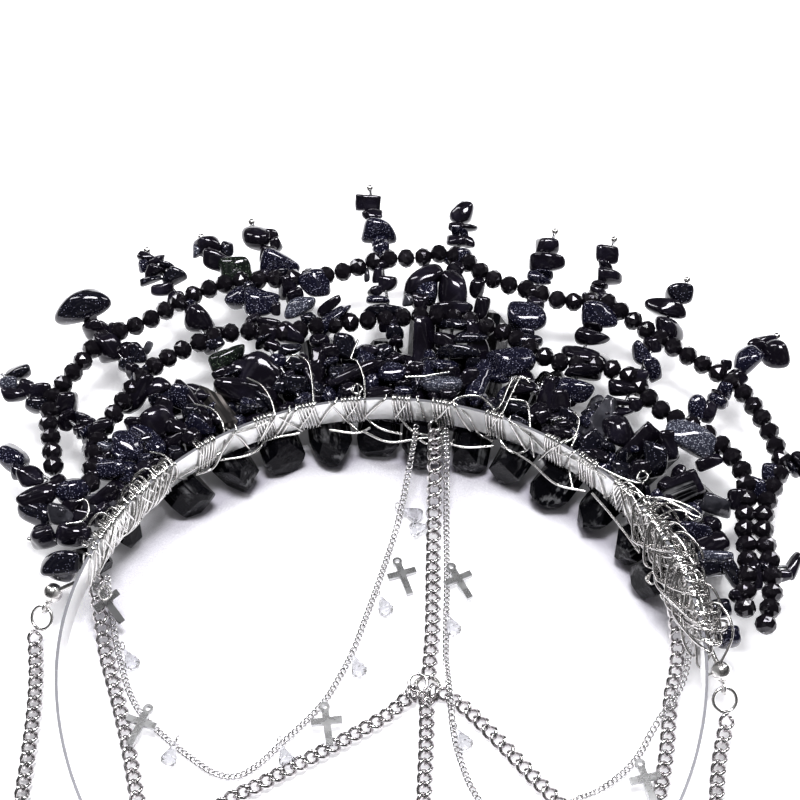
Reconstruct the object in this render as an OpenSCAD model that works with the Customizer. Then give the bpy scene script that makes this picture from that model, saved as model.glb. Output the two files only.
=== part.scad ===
// Halo headband that lies on its side: a flat metal strip bent to an arch,
// with pointed black crystals lashed across it, spikes of threaded stones
// round the outside, two strings of beads from spike to spike, and chains
// with small crosses and glass drops that hang inside the arch.
// The crown of the arch is at the origin, the open ends point along -Y.

/* [Head band] */
// Radius of the arch at the middle of the strip
band_r = 67.3; // [66.8:0.1:67.8]
// Width of the strip, which stands on edge
band_w = 7; // [6.5:0.1:7]
// Thickness of the strip
band_t = 0.7; // [0.5:0.05:0.8]
// Height of the strip's lower edge above the table
band_z = 9.5; // [9.5:0.05:9.8]
// Bearing from the crown at which the straighter ends begin
arch_half = 95; // [90:1:100]
// Radius of the straighter ends
end_r = 85; // [80:1:100]
// Turn of each straighter end
end_turn = 28; // [20:1:30]

/* [Crystals] */
// Width across the flats of the crystals that the band rests on
crystal_w = 8.7; // [8.4:0.05:8.7]

/* [Spikes] */
// Height of the spikes' wires above the table
spike_z = 13.2; // [13.2:0.05:13.4]
// Diameter of a headpin
pin_d = 0.8; // [0.6:0.05:0.9]
// Diameter of the little ball on a headpin's tip
pin_ball_d = 2; // [1.6:0.1:2.4]
// Bore of each threaded stone
stone_bore_d = 1.3; // [1.2:0.05:1.5]
// Usual length of spike that one stone takes up
stone_pitch = 7.1; // [6.6:0.1:8]

/* [Bead strings] */
// Diameter of a bead
bead_d = 4; // [3.6:0.1:4]
// Bore of a bead
bead_bore_d = 1.5; // [1.4:0.05:1.5]
// Diameter of the thread wire
thread_d = 0.35; // [0.3:0.05:0.35]

/* [Chains] */
// Width of the heavy chain
chain_w = 3.6; // [3.2:0.1:3.8]
// Height of the heavy chain as it lies
chain_h = 2.5; // [2.2:0.1:2.6]
// Width of the fine chain
fine_w = 1.3; // [1:0.1:1.4]
// Height of the fine chain as it lies
fine_h = 1.3; // [1:0.1:1.4]
// Length of a cross without its eye
cross_l = 8.6; // [8:0.1:9]
// Width of a cross
cross_w = 6.6; // [6:0.1:7]

/* [Hidden] */

// Gap left between pieces that lie against each other
gap = 0.12;
// Thickness of the wire that is wound round the strip
wrap_t = 0.5;
// Radius at which the spikes' lengths start, just outside the wound wire
foot_r = band_r + band_t / 2 + gap + wrap_t + 0.6;
// Height of the bead strings, which cross over the headpins
thread_z = spike_z + pin_d / 2 + thread_d / 2 + 0.1;
// Height of what lies on top of the lower crystals
upper_z = crystal_w + 0.25;

// Columns: bearing at the band, direction, inner radius, outer radius, width across
// the flats, slope length of the inner tip, of the outer tip, tips' sideways offset,
// height of the lowest flat
BEARING = 0; DIRECTION = 1; R_IN = 2; R_OUT = 3; ACROSS = 4; TIP_IN = 5; TIP_OUT = 6; OFFSET = 7;
BASE = 8;
CRYSTALS = [
    [-65, -66, 66, 79, 6.4, 1.5, 4, 0.5, 2.3],
    [-56, -52, 65, 82, 7.2, 2, 3, -0.6, 1.5],
    [-42.5, -39, 60.5, 92, crystal_w, 1.5, 6, 0.8, 0],
    [-31.5, -29, 58.5, 91, 8.4, 3.5, 5, -0.7, 0.3],
    [-21, -18, 61, 98, crystal_w, 1.5, 6, 0.4, 0],
    [-10.8, -8, 57, 100, crystal_w, 7, 4, 0.5, 0],
    [-1, 3, 61, 97, crystal_w, 2, 5, 0.9, 0],
    [8, 3, 58, 112, crystal_w, 2, 8, -0.8, 0],
    [18, 8, 60, 110, 8.6, 1.5, 5, 0.6, 0.1],
    [27.4, 25, 57.5, 97, 7.8, 1.5, 7, 0.5, 0.9],
    [37.3, 34, 57.5, 95, crystal_w, 4, 5, -0.9, 0],
    [47.5, 43, 59, 95, 8, 4, 4, 0.7, 0.7],
    [57.8, 55, 59.5, 92, 8.4, 3.5, 5, -0.6, 0.3],
    [67, 68, 59.5, 84, 7.8, 2, 4, 0.5, 0.9],
    [-29.2, -28.6, 70.5, 88, 4.6, 1.5, 3, 0.5, upper_z],
    [39.9, 20, 75.5, 93, 3.8, 1, 6, -0.5, upper_z],
    [47.3, 35, 72, 91, 3.6, 1, 5, 0.4, upper_z],
    [55.6, 65, 72, 84, 5, 1, 1, 0.2, upper_z]
];

// Columns: foot bearing, tip bearing, tip radius, distance from the foot at which the
// inner and the outer string cross (0 where none does), half width of the tip stone,
// how thick the other stones are, seed for their shapes, 1 where a ball shows on the tip,
// how far the inner and the outer string hang inwards on the way to the next spike,
// length of the wire wound round the strip at the foot
FOOT = 0; TIP = 1; TIP_R = 2; INNER = 3; OUTER = 4; TIP_STONE = 5; BULK = 6; SEED = 7; BALL = 8;
INNER_SAG = 9; OUTER_SAG = 10; WRAP = 11;
SPIKES = [
    [-64, -69, 83, 0, 0, 3.2, 0.85, 11, 0, 0, 0, 4],
    [-59, -58, 103, 8, 17.5, 3.9, 1.1, 12, 0, 0, 0, 6],
    [-48, -49.2, 119, 18.5, 34.5, 4.4, 1.1, 13, 0, 0, 0, 10],
    [-36.8, -36.9, 126, 26, 42.5, 7.2, 1.1, 14, 1, -1.2, 1.5, 5],
    [-23.5, -26.6, 132, 28.6, 43.5, 3.6, 1.25, 15, 1, -1.2, 0, 6],
    [-14.7, -20.5, 131, 26.5, 45, 4, 1.3, 16, 1, 1, 0, 5],
    [-5.7, -14.7, 132.3, 25.7, 43.2, 4, 1.35, 17, 1, 0, 2, 4],
    [4, -1.6, 140.3, 26.4, 46.6, 3.4, 1.15, 18, 1, 0, 1.2, 4],
    [12.1, 8.3, 136.5, 28.4, 50.3, 3.6, 1.1, 19, 0, 0, 3.2, 8],
    [22.8, 18.9, 131.7, 25, 41.8, 3, 1.2, 20, 1, 2, 3, 7],
    [35.6, 25.2, 134.6, 24.5, 47.6, 2.9, 1.15, 21, 1, -1.5, 0, 5],
    [43.6, 34.5, 131, 27.8, 42.3, 3.4, 1.1, 22, 1, 2, 0, 7],
    [52, 46.4, 129.7, 25, 42.2, 4.4, 1.15, 23, 1, -2.5, -2, 7],
    [62, 62.2, 110, 23.6, 33, 3.9, 1.2, 24, 0, 1, 3.2, 9],
    [73.4, 76, 97, 13.6, 18.7, 3.8, 1, 25, 0, 0, 0, 10]
];

// Ends of the strings past the last spike: bearing, radius
OUTER_TAIL = [[80.8, 84.4], [86.4, 80.6]];
INNER_TAIL = [[80, 78.2], [83.4, 78]];

// Larger stones tied on top of the crystals:
// bearing, radius, half width, half depth, half height, turn, seed
ACCENTS = [
    [-72.4, 73.2, 2.6, 3.2, 3.1, 0, 30],
    [-64, 85.9, 3.2, 4.4, 3.2, 0, 31],
    [-53.4, 74, 2.7, 2.8, 2.8, 0, 32],
    [-42.5, 80, 3.1, 6.5, 2.9, 2, 33],
    [-32.6, 82, 1.9, 9, 3.2, 0, 34],
    [-12.6, 81, 1.9, 7, 2.6, -6, 36],
    [-2.7, 80.5, 3.3, 8, 3.2, -6, 37],
    [7.6, 81, 2.2, 6, 2.6, -4, 38],
    [5.6, 107.2, 3.7, 6, 3.8, 0, 39],
    [16.3, 79.5, 3.1, 6.5, 3, 0, 40],
    [27.8, 76, 2.3, 3.3, 2.3, 10, 41],
    [26.5, 84.2, 3, 3.2, 3, 0, 42],
    [68, 77.5, 4, 4.6, 3.2, 0, 43],
    [80.2, 73.3, 2.8, 2.5, 2.8, 0, 44],
    [85.9, 73.4, 2.9, 2.8, 3, 0, 45]
];

// Crosses: x, y, height of the underside, turn, tilt that raises the eye
CROSSES = [
    [-59.4, -50.4, 6, 45, 35],
    [-51, -79, 2.65, -20, 0],
    [-11.4, -78.8, 2.65, 8, 0],
    [4.7, -39.4, 0.1, 18, 0],
    [17.4, -41.6, 1.45, 26, 0],
    [54.6, -92.2, 2.65, 14, 0]
];

// Routes of the chains: x, y, height of the middle, all round numbers
low = 1.25;
fine_low = 0.7;
CENTRE_ROUTE = [
    [12, -3.4, 10.2], [11.9, -8, 10.2], [11.8, -12.5, 10.1], [11.7, -16.2, 8.6], [11.6, -20, 5.9],
    [11.5, -24, 3.4], [11.4, -28.5, 1.7], [11.3, -34, low], [11.1, -45, low], [10.8, -55, low],
    [10.1, -64.1, low]
];
LEFT_ROUTE = [
    [-62.8, -44.6, 7.4], [-62.3, -48, 6.3], [-61.6, -51.6, 3.9], [-60.8, -55.4, 1.9],
    [-59.4, -61, low], [-56.5, -70, low], [-53.4, -80.5, low], [-51.3, -89, low],
    [-49.7, -95.5, low], [-47.6, -101.4, low], [-43.6, -104.6, low], [-39.2, -103, low],
    [-35.2, -98.6, low], [-31.4, -94.8, low], [-25.6, -91.5, low], [-18.4, -87.2, low],
    [-11.3, -82.9, low], [-4.6, -78.7, low], [1.6, -74.4, low], [6.4, -69.4, low]
];
RIGHT_ROUTE = [
    [63.4, -52.5, 7.4], [63.5, -55.4, 6.3], [63.7, -58.3, 3.9], [63.6, -61.2, 1.9],
    [63, -65, low], [61.6, -70, low], [60.6, -76.5, low], [59.4, -84, low], [57.2, -93, low],
    [54.8, -99.4, low], [50.4, -103, low], [44.6, -102.6, low], [39.2, -98.6, low],
    [34.2, -92.8, low], [28.8, -86.2, low], [23.6, -79.8, low], [18.2, -73.6, low],
    [13, -69.3, low]
];
DOWN_ROUTE = [
    [9.5, -71.3, low], [9.4, -80, low], [8.8, -94, low], [8.6, -108, low], [8.8, -122, low],
    [9, -137.6, low]
];
BACK_ROUTE = [
    [-75.5, -56.4, 2.4], [-75, -60, 1.4], [-74.3, -65, low], [-73.7, -74, low],
    [-73.6, -86, low], [-73.6, -96, low], [-72, -106, low], [-67.4, -115.4, low],
    [-60, -123, low], [-50, -129, low], [-36, -134, low], [-18, -138, low], [0, -139.8, low],
    [18, -139.6, low], [34, -136.6, low], [47, -131, low], [57, -123, low], [64, -113, low],
    [67.6, -102, low], [69, -93, low], [70.2, -86, low], [71.6, -80.6, 1.8], [72.4, -77.4, 2.8]
];
LEFT_FINE_ROUTE = [
    [-60.2, -44.6, 8.2], [-59.8, -47.6, 6.4], [-59.1, -51, 3.6], [-58.4, -54.6, 1.4],
    [-57.4, -58.4, fine_low], [-55.7, -64, fine_low], [-53.6, -69.6, fine_low],
    [-50.4, -74.8, fine_low], [-45.2, -80, fine_low], [-39.8, -84.6, fine_low],
    [-34.6, -88.2, fine_low], [-30, -88.9, fine_low], [-25.6, -86.2, fine_low],
    [-21, -81.2, fine_low], [-16, -75.8, fine_low], [-12, -70.6, fine_low],
    [-9, -64.6, fine_low], [-6.4, -58.6, fine_low], [-4, -50.8, fine_low],
    [-1.8, -43.4, fine_low], [0.4, -35.6, fine_low], [2.3, -28.6, 0.9], [3.6, -23.4, 2.1],
    [4.8, -18.6, 4.8], [5.9, -13.8, 8.4], [6.6, -10.4, 9.7], [7.2, -6.8, 9.9], [7.6, -3.2, 9.9]
];
RIGHT_FINE_ROUTE = [
    [14.6, -4.2, 9.9], [14.6, -8, 9.9], [14.5, -11.8, 9.7], [14.4, -15.6, 7.8], [14.4, -19.6, 4.8],
    [14.4, -24, 2], [14.4, -28.4, 0.9], [14.4, -34, fine_low], [14.3, -41, fine_low],
    [14.1, -48, fine_low], [13.9, -54, fine_low], [13.8, -60, 0.8], [14, -64, 1.9],
    [14.2, -67.4, 3.1], [14.4, -70.6, 3.5], [14.6, -73.8, 2.9], [14.9, -77.2, 1.3],
    [15.5, -81, fine_low], [16.7, -86, fine_low], [18.6, -91.6, fine_low],
    [21.6, -96.6, fine_low], [26, -99.8, fine_low], [30.6, -100.4, 1.2], [34.4, -99.2, 2.8],
    [37.8, -97, 3.5], [41.2, -94.6, 2.5], [44.6, -92.4, 1], [48.4, -89.6, fine_low],
    [51.8, -86.4, fine_low], [54.4, -82.8, fine_low], [56.4, -79.4, 1.6], [58.6, -76.4, 3.2],
    [61.2, -73, 3.5], [63.6, -69.2, 4.4], [65, -65, 6.2], [65.4, -61.6, 7.8]
];

KNOT = [9.6, -67.7];

function at(bearing, radius) = [radius * sin(bearing), radius * cos(bearing) - band_r];
function foot(s) = at(s[FOOT], foot_r);
function tip(s) = at(s[TIP], s[TIP_R]);
function unit(v) = v / norm(v);
function along(s, distance) = foot(s) + unit(tip(s) - foot(s)) * distance;
function spike_length(s) = norm(tip(s) - foot(s));
function bearing_of(v) = atan2(v[0], v[1]);

// Stations of the two strings from left to right: point, sag on the way to the next
// station, and the direction of the headpin that it crosses there, if any
function direction(s) = unit(tip(s) - foot(s));
no_pin = [0, 0];
OUTER_LINE = concat([for (s = SPIKES) if (s[OUTER] > 0) [along(s, s[OUTER]), s[OUTER_SAG], direction(s)]],
                    [for (e = OUTER_TAIL) [at(e[0], e[1]), 0, no_pin]]);
INNER_LINE = concat([for (s = SPIKES) if (s[INNER] > 0) [along(s, s[INNER]), s[INNER_SAG], direction(s)]],
                    [for (e = INNER_TAIL) [at(e[0], e[1]), 0, no_pin]]);

// Distance of a bead's middle from a headpin's line and from a bend, and the beads' least pitch
pin_gap = bead_d / 2 + pin_d / 2 + 0.4;
bend_gap = bead_d / 2 + 0.2;
bead_pitch = bead_d + 0.18;

// A point on the shallow arc from a to b, which hangs inwards by sag, at a fraction of it
function arc_rho(half, sag) = (half * half + sag * sag) / (2 * abs(sag));
function arc_point(a, b, sag, fraction) =
    let (half = norm(b - a) / 2, dir = unit(b - a), inwards = [dir[1], -dir[0]])
    abs(sag) < 0.1 ? a + (b - a) * fraction :
    let (rho = arc_rho(half, sag), phi = asin(half / rho) * (2 * fraction - 1))
    (a + b) / 2 + dir * rho * sin(phi) + inwards * (sag - sign(sag) * rho * (1 - cos(phi)));
function arc_length(a, b, sag) =
    let (half = norm(b - a) / 2)
    abs(sag) < 0.1 ? 2 * half :
    let (rho = arc_rho(half, sag)) rho * asin(half / rho) * PI / 90;

// Distance from a station to the first bead of a string that leaves it towards a point
function end_gap(station, point) =
    let (v = unit(point - station[0]), d = station[2])
    d == no_pin ? bend_gap : pin_gap / max(0.5, abs(v[0] * d[1] - v[1] * d[0]));

// Fractions of the way from station k to the next at which the beads sit
function bead_fractions(line, k) =
    let (l = arc_length(line[k][0], line[k + 1][0], line[k][1]),
         start = end_gap(line[k], bead_point(line, k, 0.15)),
         room = l - start - end_gap(line[k + 1], bead_point(line, k, 0.85)),
         count = room < 0 ? 0 : floor(room / bead_pitch) + 1)
    [for (m = [0:1:count - 1]) (start + (count > 1 ? room * m / (count - 1) : room / 2)) / l];
function bead_point(line, k, fraction) =
    arc_point(line[k][0], line[k + 1][0], line[k][1], fraction);

// Where the strings' first beads on both sides of station k lie along a spike's wire,
// which runs along dir: the largest distance outwards (side 1) or inwards (side -1)
function lean(line, k, dir, side) =
    let (p = line[k][0],
         last = k > 0 ? len(bead_fractions(line, k - 1)) - 1 : -1,
         before = last < 0 ? p : bead_point(line, k - 1, bead_fractions(line, k - 1)[last]),
         after = k < len(line) - 1 ? bead_point(line, k, bead_fractions(line, k)[0]) : p)
    max(0, side * (before - p) * dir, side * (after - p) * dir);
function station_room(line, k, dir, side) = bead_d / 2 + 0.25 + lean(line, k, dir, side);
function index_of(column, n) = len([for (k = [0:n]) if (SPIKES[k][column] > 0) k]) - 1;

// Free stretches of a spike's wire that stones fill: start and end distances
function stretches(n) =
    let (s = SPIKES[n],
         dir = direction(s),
         start = 2.6,
         end = spike_length(s) - 1.4,
         a = index_of(INNER, n),
         b = index_of(OUTER, n),
         in0 = s[INNER] - station_room(INNER_LINE, a, dir, -1),
         in1 = s[INNER] + station_room(INNER_LINE, a, dir, 1),
         out0 = s[OUTER] - station_room(OUTER_LINE, b, dir, -1),
         out1 = s[OUTER] + station_room(OUTER_LINE, b, dir, 1))
    s[INNER] > 0 ? [[start, in0], [in1, out0], [out1, end]] : [[start, end]];

// Outline of a tumbled stone: eight uneven corners round an oval
function uneven_oval(a, b, seed) =
    let (r = rands(0.84, 1, 8, seed), t = rands(-9, 9, 8, seed + 100))
    [for (k = [0:7]) [a * r[k] * cos(45 * k + t[k]), b * r[k] * sin(45 * k + t[k])]];

// A tumbled stone with its bore along Z, off its middle by a shift
module stone(half_w, half_h, thick, seed, bore = stone_bore_d) {
    t = thick / 2;
    c = rands(0.45, 0.8, 4, seed + 7);
    shift = bore > 0 ? rands(-0.8, 0.8, 1, seed + 8)[0] : 0;
    difference() {
        translate([shift, 0, 0]) intersection() {
            linear_extrude(thick, center = true) polygon(uneven_oval(half_w, half_h, seed));
            rotate([90, 0, 0]) linear_extrude(4 * half_h, center = true)
                polygon([[-half_w, -t * 0.3], [-half_w * c[0], -t], [half_w * c[1], -t],
                         [half_w, -t * 0.4], [half_w, t * 0.3], [half_w * c[2], t],
                         [-half_w * c[3], t], [-half_w, t * 0.4]]);
            rotate([90, 0, 90]) linear_extrude(4 * half_w, center = true)
                polygon([[-half_h, -t * 0.4], [-half_h * c[2], -t], [half_h * c[3], -t],
                         [half_h, -t * 0.3], [half_h, t * 0.4], [half_h * c[0], t],
                         [-half_h * c[1], t], [-half_h, t * 0.3]]);
        }
        if (bore > 0) cylinder(h = thick + 1, d = bore, center = true, $fn = 24);
    }
}

// Outline of one pair of a crystal's sides, with the tips at both ends
module house(w, l, tip_in, tip_out, offset) {
    polygon([[-w / 2, tip_in], [offset, 0], [w / 2, tip_in],
             [w / 2, l - tip_out], [-offset, l], [-w / 2, l - tip_out]]);
}

// A six-sided crystal along +Y that lies on one of its flats at z = 0
module prism(w, l, tip_in, tip_out, offset) {
    translate([0, 0, w / 2]) rotate([0, 90, 0]) intersection() {
        linear_extrude(3 * w, center = true) house(w, l, tip_in, tip_out, offset);
        rotate([0, 60, 0]) linear_extrude(3 * w, center = true)
            house(w, l, tip_in * 0.8, tip_out * 1.15, -offset / 2);
        rotate([0, -60, 0]) linear_extrude(3 * w, center = true)
            house(w, l, tip_in * 1.2, tip_out * 0.85, offset / 3);
    }
}

// Places a piece so that its +Y runs outwards at a bearing, from a point on the plan
module outwards(point, bearing, z = 0) {
    translate([point[0], point[1], z]) rotate([0, 0, -bearing]) children();
}

module crystal(n) {
    c = CRYSTALS[n];
    on_band = at(c[BEARING], band_r);
    shade = n == 14 || n == 15 ? 0.4 : 0.05 + 0.02 * (n % 3);
    color([shade, shade, shade + 0.02]) outwards(on_band, c[DIRECTION], c[BASE])
        translate([0, c[R_IN] - band_r, 0])
            prism(c[ACROSS], c[R_OUT] - c[R_IN], c[TIP_IN], c[TIP_OUT], c[OFFSET]);
}

// One stretch of the strip, or of a sleeve round it, as a ring section swept round an arc
module strip_arc(radius, turn, grow) {
    rotate_extrude(angle = turn, $fn = 180)
        translate([radius - band_t / 2 - grow, band_z - grow])
            square([band_t + 2 * grow, band_w + 2 * grow]);
}

// The strip is an arch with a straighter arc tangent to it at each end, which is a hair
// slimmer and starts just inside the arch
module band() {
    reach = end_r - band_r;
    inside = 1;
    slimmer = 0.03;
    color([0.83, 0.83, 0.85]) translate([0, -band_r, 0]) {
        rotate([0, 0, 90 - arch_half]) strip_arc(band_r, 2 * arch_half, 0);
        for (side = [0, 1]) mirror([side, 0, 0])
            translate([-reach * sin(arch_half), -reach * cos(arch_half), 0])
                rotate([0, 0, 90 - arch_half - end_turn])
                    strip_arc(end_r, end_turn + inside, -slimmer);
    }
}

module accent_stones() {
    color([0.06, 0.06, 0.12]) for (a = ACCENTS)
        outwards(at(a[0], a[1]), a[0] + a[5], upper_z + a[4])
            rotate([-90, 0, 0]) stone(a[2], a[4], 2 * a[3], a[6], 0);
}

// Each headpin is one wire with the turns that lash it round the strip
module headpin(s) {
    turn = s[WRAP] / band_r * 180 / PI;
    translate([0, -band_r, 0]) rotate([0, 0, 90 - s[FOOT] - turn / 2]) difference() {
        strip_arc(band_r, turn, gap + wrap_t);
        rotate([0, 0, -1]) strip_arc(band_r, turn + 2, gap);
    }
    outwards(foot(s), bearing_of(tip(s) - foot(s)), spike_z) rotate([-90, 0, 0]) {
        translate([0, 0, -0.85]) cylinder(h = spike_length(s) + 0.85, d = pin_d, $fn = 24);
        translate([0, 0, spike_length(s)])
            sphere(d = s[BALL] > 0 ? pin_ball_d : pin_d * 1.4, $fn = 24);
    }
}

module headpins() {
    color([0.8, 0.8, 0.82]) for (s = SPIKES) headpin(s);
}

// The stones of one spike: each free stretch is filled evenly
module spike(n) {
    s = SPIKES[n];
    parts = stretches(n);
    color([0.06, 0.06, 0.1]) outwards(foot(s), bearing_of(tip(s) - foot(s)), spike_z)
        rotate([-90, 0, 0]) for (k = [0:len(parts) - 1]) {
            free = parts[k][1] - parts[k][0];
            count = free < 1.8 ? 0 : max(1, round(free / stone_pitch));
            pitch = free / max(1, count);
            wide = rands(2.6, 3.4, count + 1, s[SEED] + 10 * k);
            tall = rands(2.6, 3.7, count + 1, s[SEED] + 10 * k + 5);
            for (m = [0:1:count - 1]) {
                top = k == len(parts) - 1 && m == count - 1;
                translate([0, 0, parts[k][0] + pitch * (m + 0.5)])
                    stone(top ? s[TIP_STONE] : wide[m] * s[BULK], tall[m], pitch - 0.25,
                          s[SEED] * 20 + 3 * k + m);
            }
        }
}

// A bead on a string that runs along Z
module bead() {
    r = bead_d / 2;
    rotate_extrude($fn = 24) polygon([
        [bead_bore_d / 2, -r * 0.9], [r * 0.55, -r * 0.9], [r * 0.88, -r * 0.5], [r, 0],
        [r * 0.88, r * 0.5], [r * 0.55, r * 0.9], [bead_bore_d / 2, r * 0.9]
    ]);
}

// The beads of a string, each along the arc from station to station
module bead_string(line) {
    for (k = [0:len(line) - 2]) for (f = bead_fractions(line, k)) {
        p = bead_point(line, k, f);
        dir = bead_point(line, k, f + 0.02) - bead_point(line, k, f - 0.02);
        outwards(p, bearing_of(dir), thread_z) rotate([90, 0, 0]) bead();
    }
}

// The wire of a string, over the headpins and through every bead's middle
module string_thread(line) {
    plan = [for (k = [0:len(line) - 2])
                each concat([line[k][0]], [for (f = bead_fractions(line, k)) bead_point(line, k, f)]),
            line[len(line) - 1][0]];
    swept_tube([for (p = plan) [p[0], p[1], thread_z]], thread_d, thread_d);
}

module outer_beads() { color([0.04, 0.04, 0.05]) bead_string(OUTER_LINE); }
module inner_beads() { color([0.04, 0.04, 0.05]) bead_string(INNER_LINE); }
module outer_thread() { color([0.6, 0.6, 0.62]) string_thread(OUTER_LINE); }
module inner_thread() { color([0.6, 0.6, 0.62]) string_thread(INNER_LINE); }

// A tube of eight sides swept along a route, its ends closed
module swept_tube(route, w, h) {
    n = len(route);
    tangents = [for (k = [0:n - 1]) unit(route[min(k + 1, n - 1)] - route[max(k - 1, 0)])];
    points = [for (k = [0:n - 1])
        let (side = unit(cross([0, 0, 1], tangents[k])), up = cross(tangents[k], side))
        for (j = [0:7]) route[k] + side * (w / 2 * cos(45 * j + 22.5))
                                 + up * (h / 2 * sin(45 * j + 22.5))];
    walls = [for (k = [0:n - 2]) for (j = [0:7])
        [8 * k + j, 8 * (k + 1) + j, 8 * (k + 1) + (j + 1) % 8, 8 * k + (j + 1) % 8]];
    polyhedron(points, concat([[7, 6, 5, 4, 3, 2, 1, 0]], [for (f = walls) [f[3], f[2], f[1], f[0]]],
                              [[for (j = [0:7]) 8 * (n - 1) + j]]));
}

module heavy_chain(route) { color([0.75, 0.75, 0.77]) swept_tube(route, chain_w, chain_h); }
module centre_chain() { heavy_chain(CENTRE_ROUTE); }
module left_swag() { heavy_chain(LEFT_ROUTE); }
module right_swag() { heavy_chain(RIGHT_ROUTE); }
module down_chain() { heavy_chain(DOWN_ROUTE); }
module back_chain() { heavy_chain(BACK_ROUTE); }
module fine_chain(route) { color([0.72, 0.72, 0.74]) swept_tube(route, fine_w, fine_h); }
module left_fine_chain() { fine_chain(LEFT_FINE_ROUTE); }
module right_fine_chain() { fine_chain(RIGHT_FINE_ROUTE); }

module ring(middle_d, wire_d) {
    rotate_extrude($fn = 48) translate([middle_d / 2, 0]) circle(d = wire_d, $fn = 24);
}

// Eye of each end fitting, and the way each jump ring hangs from it
LEFT_BALL = [-71.6, -49, 9.2];
RIGHT_BALL = [71.4, -68.9, 9.2];
LEFT_DOWN = unit([-2.2, -3.4, -3.6]);
RIGHT_DOWN = unit([0.6, -4.2, -3.2]);
ball_d = 4.5;
eye_drop = 3.5;
eye_d = 2.4;
jump_d = 5;
jump_wire = 0.8;

// Turns +Z towards a direction
module towards(v) {
    rotate([0, acos(v[2] / norm(v)), atan2(v[1], v[0])]) children();
}

// The ring at the knot lies flat, and one hangs from each end fitting
module rings() {
    color([0.8, 0.8, 0.82]) {
        translate([KNOT[0], KNOT[1], 0.75]) ring(5.2, 1.2);
        for (e = [[LEFT_BALL, LEFT_DOWN], [RIGHT_BALL, RIGHT_DOWN]])
            translate(e[0] + e[1] * (eye_drop + jump_d / 2)) towards(e[1])
                rotate([90, 0, 90]) ring(jump_d, jump_wire);
    }
}

// A stem from the band, a ball and an eye, soldered in one
module end_fitting(ball, down, from) {
    stem = from - ball;
    color([0.82, 0.82, 0.84]) {
        translate(ball) sphere(d = ball_d, $fn = 36);
        translate(ball) towards(stem) cylinder(h = norm(stem), d = 1.2, $fn = 24);
        translate(ball) towards(down) {
            cylinder(h = eye_drop - eye_d / 2 + 0.1, d = 1.1, $fn = 24);
            translate([0, 0, eye_drop]) rotate([90, 0, 0]) ring(eye_d, 0.8);
        }
    }
}
module left_end_fitting() {
    p = at(-74, band_r + 1.6);
    end_fitting(LEFT_BALL, LEFT_DOWN, [p[0], p[1], 12]);
}
module right_end_fitting() {
    p = at(86, band_r + 1.6);
    end_fitting(RIGHT_BALL, RIGHT_DOWN, [p[0], p[1], 11]);
}

// A flat cross with an eye at its top, in the middle of its arms' crossing
module cross_charm() {
    bar = 1.5;
    thickness = 0.9;
    arm_y = cross_l * 0.18;
    linear_extrude(thickness) difference() {
        union() {
            translate([-bar / 2, -cross_l / 2]) square([bar, cross_l]);
            translate([-cross_w / 2, arm_y - bar / 2]) square([cross_w, bar]);
            translate([0, cross_l / 2 + 0.6]) circle(d = 2.2, $fn = 24);
        }
        translate([0, cross_l / 2 + 0.6]) circle(d = 1.1, $fn = 24);
    }
}

module crosses() {
    color([0.7, 0.7, 0.73]) for (c = CROSSES)
        translate([c[0], c[1], c[2]]) rotate([0, 0, c[3]]) rotate([c[4], 0, 0]) cross_charm();
}

band();
crystal(0);  // crystal_1
crystal(1);  // crystal_2
crystal(2);  // crystal_3
crystal(3);  // crystal_4
crystal(4);  // crystal_5
crystal(5);  // crystal_6
crystal(6);  // crystal_7
crystal(7);  // crystal_8
crystal(8);  // crystal_9
crystal(9);  // crystal_10
crystal(10);  // crystal_11
crystal(11);  // crystal_12
crystal(12);  // crystal_13
crystal(13);  // crystal_14
crystal(14);  // crystal_15
crystal(15);  // crystal_16
crystal(16);  // crystal_17
crystal(17);  // crystal_18
accent_stones();
headpins();
spike(0);  // spike_1
spike(1);  // spike_2
spike(2);  // spike_3
spike(3);  // spike_4
spike(4);  // spike_5
spike(5);  // spike_6
spike(6);  // spike_7
spike(7);  // spike_8
spike(8);  // spike_9
spike(9);  // spike_10
spike(10);  // spike_11
spike(11);  // spike_12
spike(12);  // spike_13
spike(13);  // spike_14
spike(14);  // spike_15
outer_beads();
inner_beads();
outer_thread();
inner_thread();
centre_chain();
left_swag();
right_swag();
down_chain();
back_chain();
left_fine_chain();
right_fine_chain();
rings();
left_end_fitting();
right_end_fitting();
crosses();
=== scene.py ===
"""Looks of the crystal headband: polished strip, lashing wire, tumbled stones, faceted
beads, link chains and glass drops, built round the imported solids. Lengths here are in
millimetres, as in the part's source, and become metres when a mesh is made. Sizes inside
shader and geometry trees are in metres."""

import math
import random

import bmesh
import bpy
import numpy as np
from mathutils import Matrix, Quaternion, Vector


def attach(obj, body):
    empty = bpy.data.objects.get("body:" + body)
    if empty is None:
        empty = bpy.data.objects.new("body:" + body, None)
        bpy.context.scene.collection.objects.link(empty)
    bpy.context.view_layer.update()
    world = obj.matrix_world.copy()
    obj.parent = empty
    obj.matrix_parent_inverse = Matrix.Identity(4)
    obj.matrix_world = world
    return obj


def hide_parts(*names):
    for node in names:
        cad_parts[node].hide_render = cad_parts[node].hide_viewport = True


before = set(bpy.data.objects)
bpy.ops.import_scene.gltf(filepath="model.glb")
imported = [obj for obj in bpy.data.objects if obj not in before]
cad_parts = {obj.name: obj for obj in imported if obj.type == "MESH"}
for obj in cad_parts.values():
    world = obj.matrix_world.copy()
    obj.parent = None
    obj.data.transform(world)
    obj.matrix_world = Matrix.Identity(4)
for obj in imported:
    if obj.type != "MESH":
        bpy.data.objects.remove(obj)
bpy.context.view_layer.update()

MM = 0.001
UP = Vector((0, 0, 1))

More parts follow.
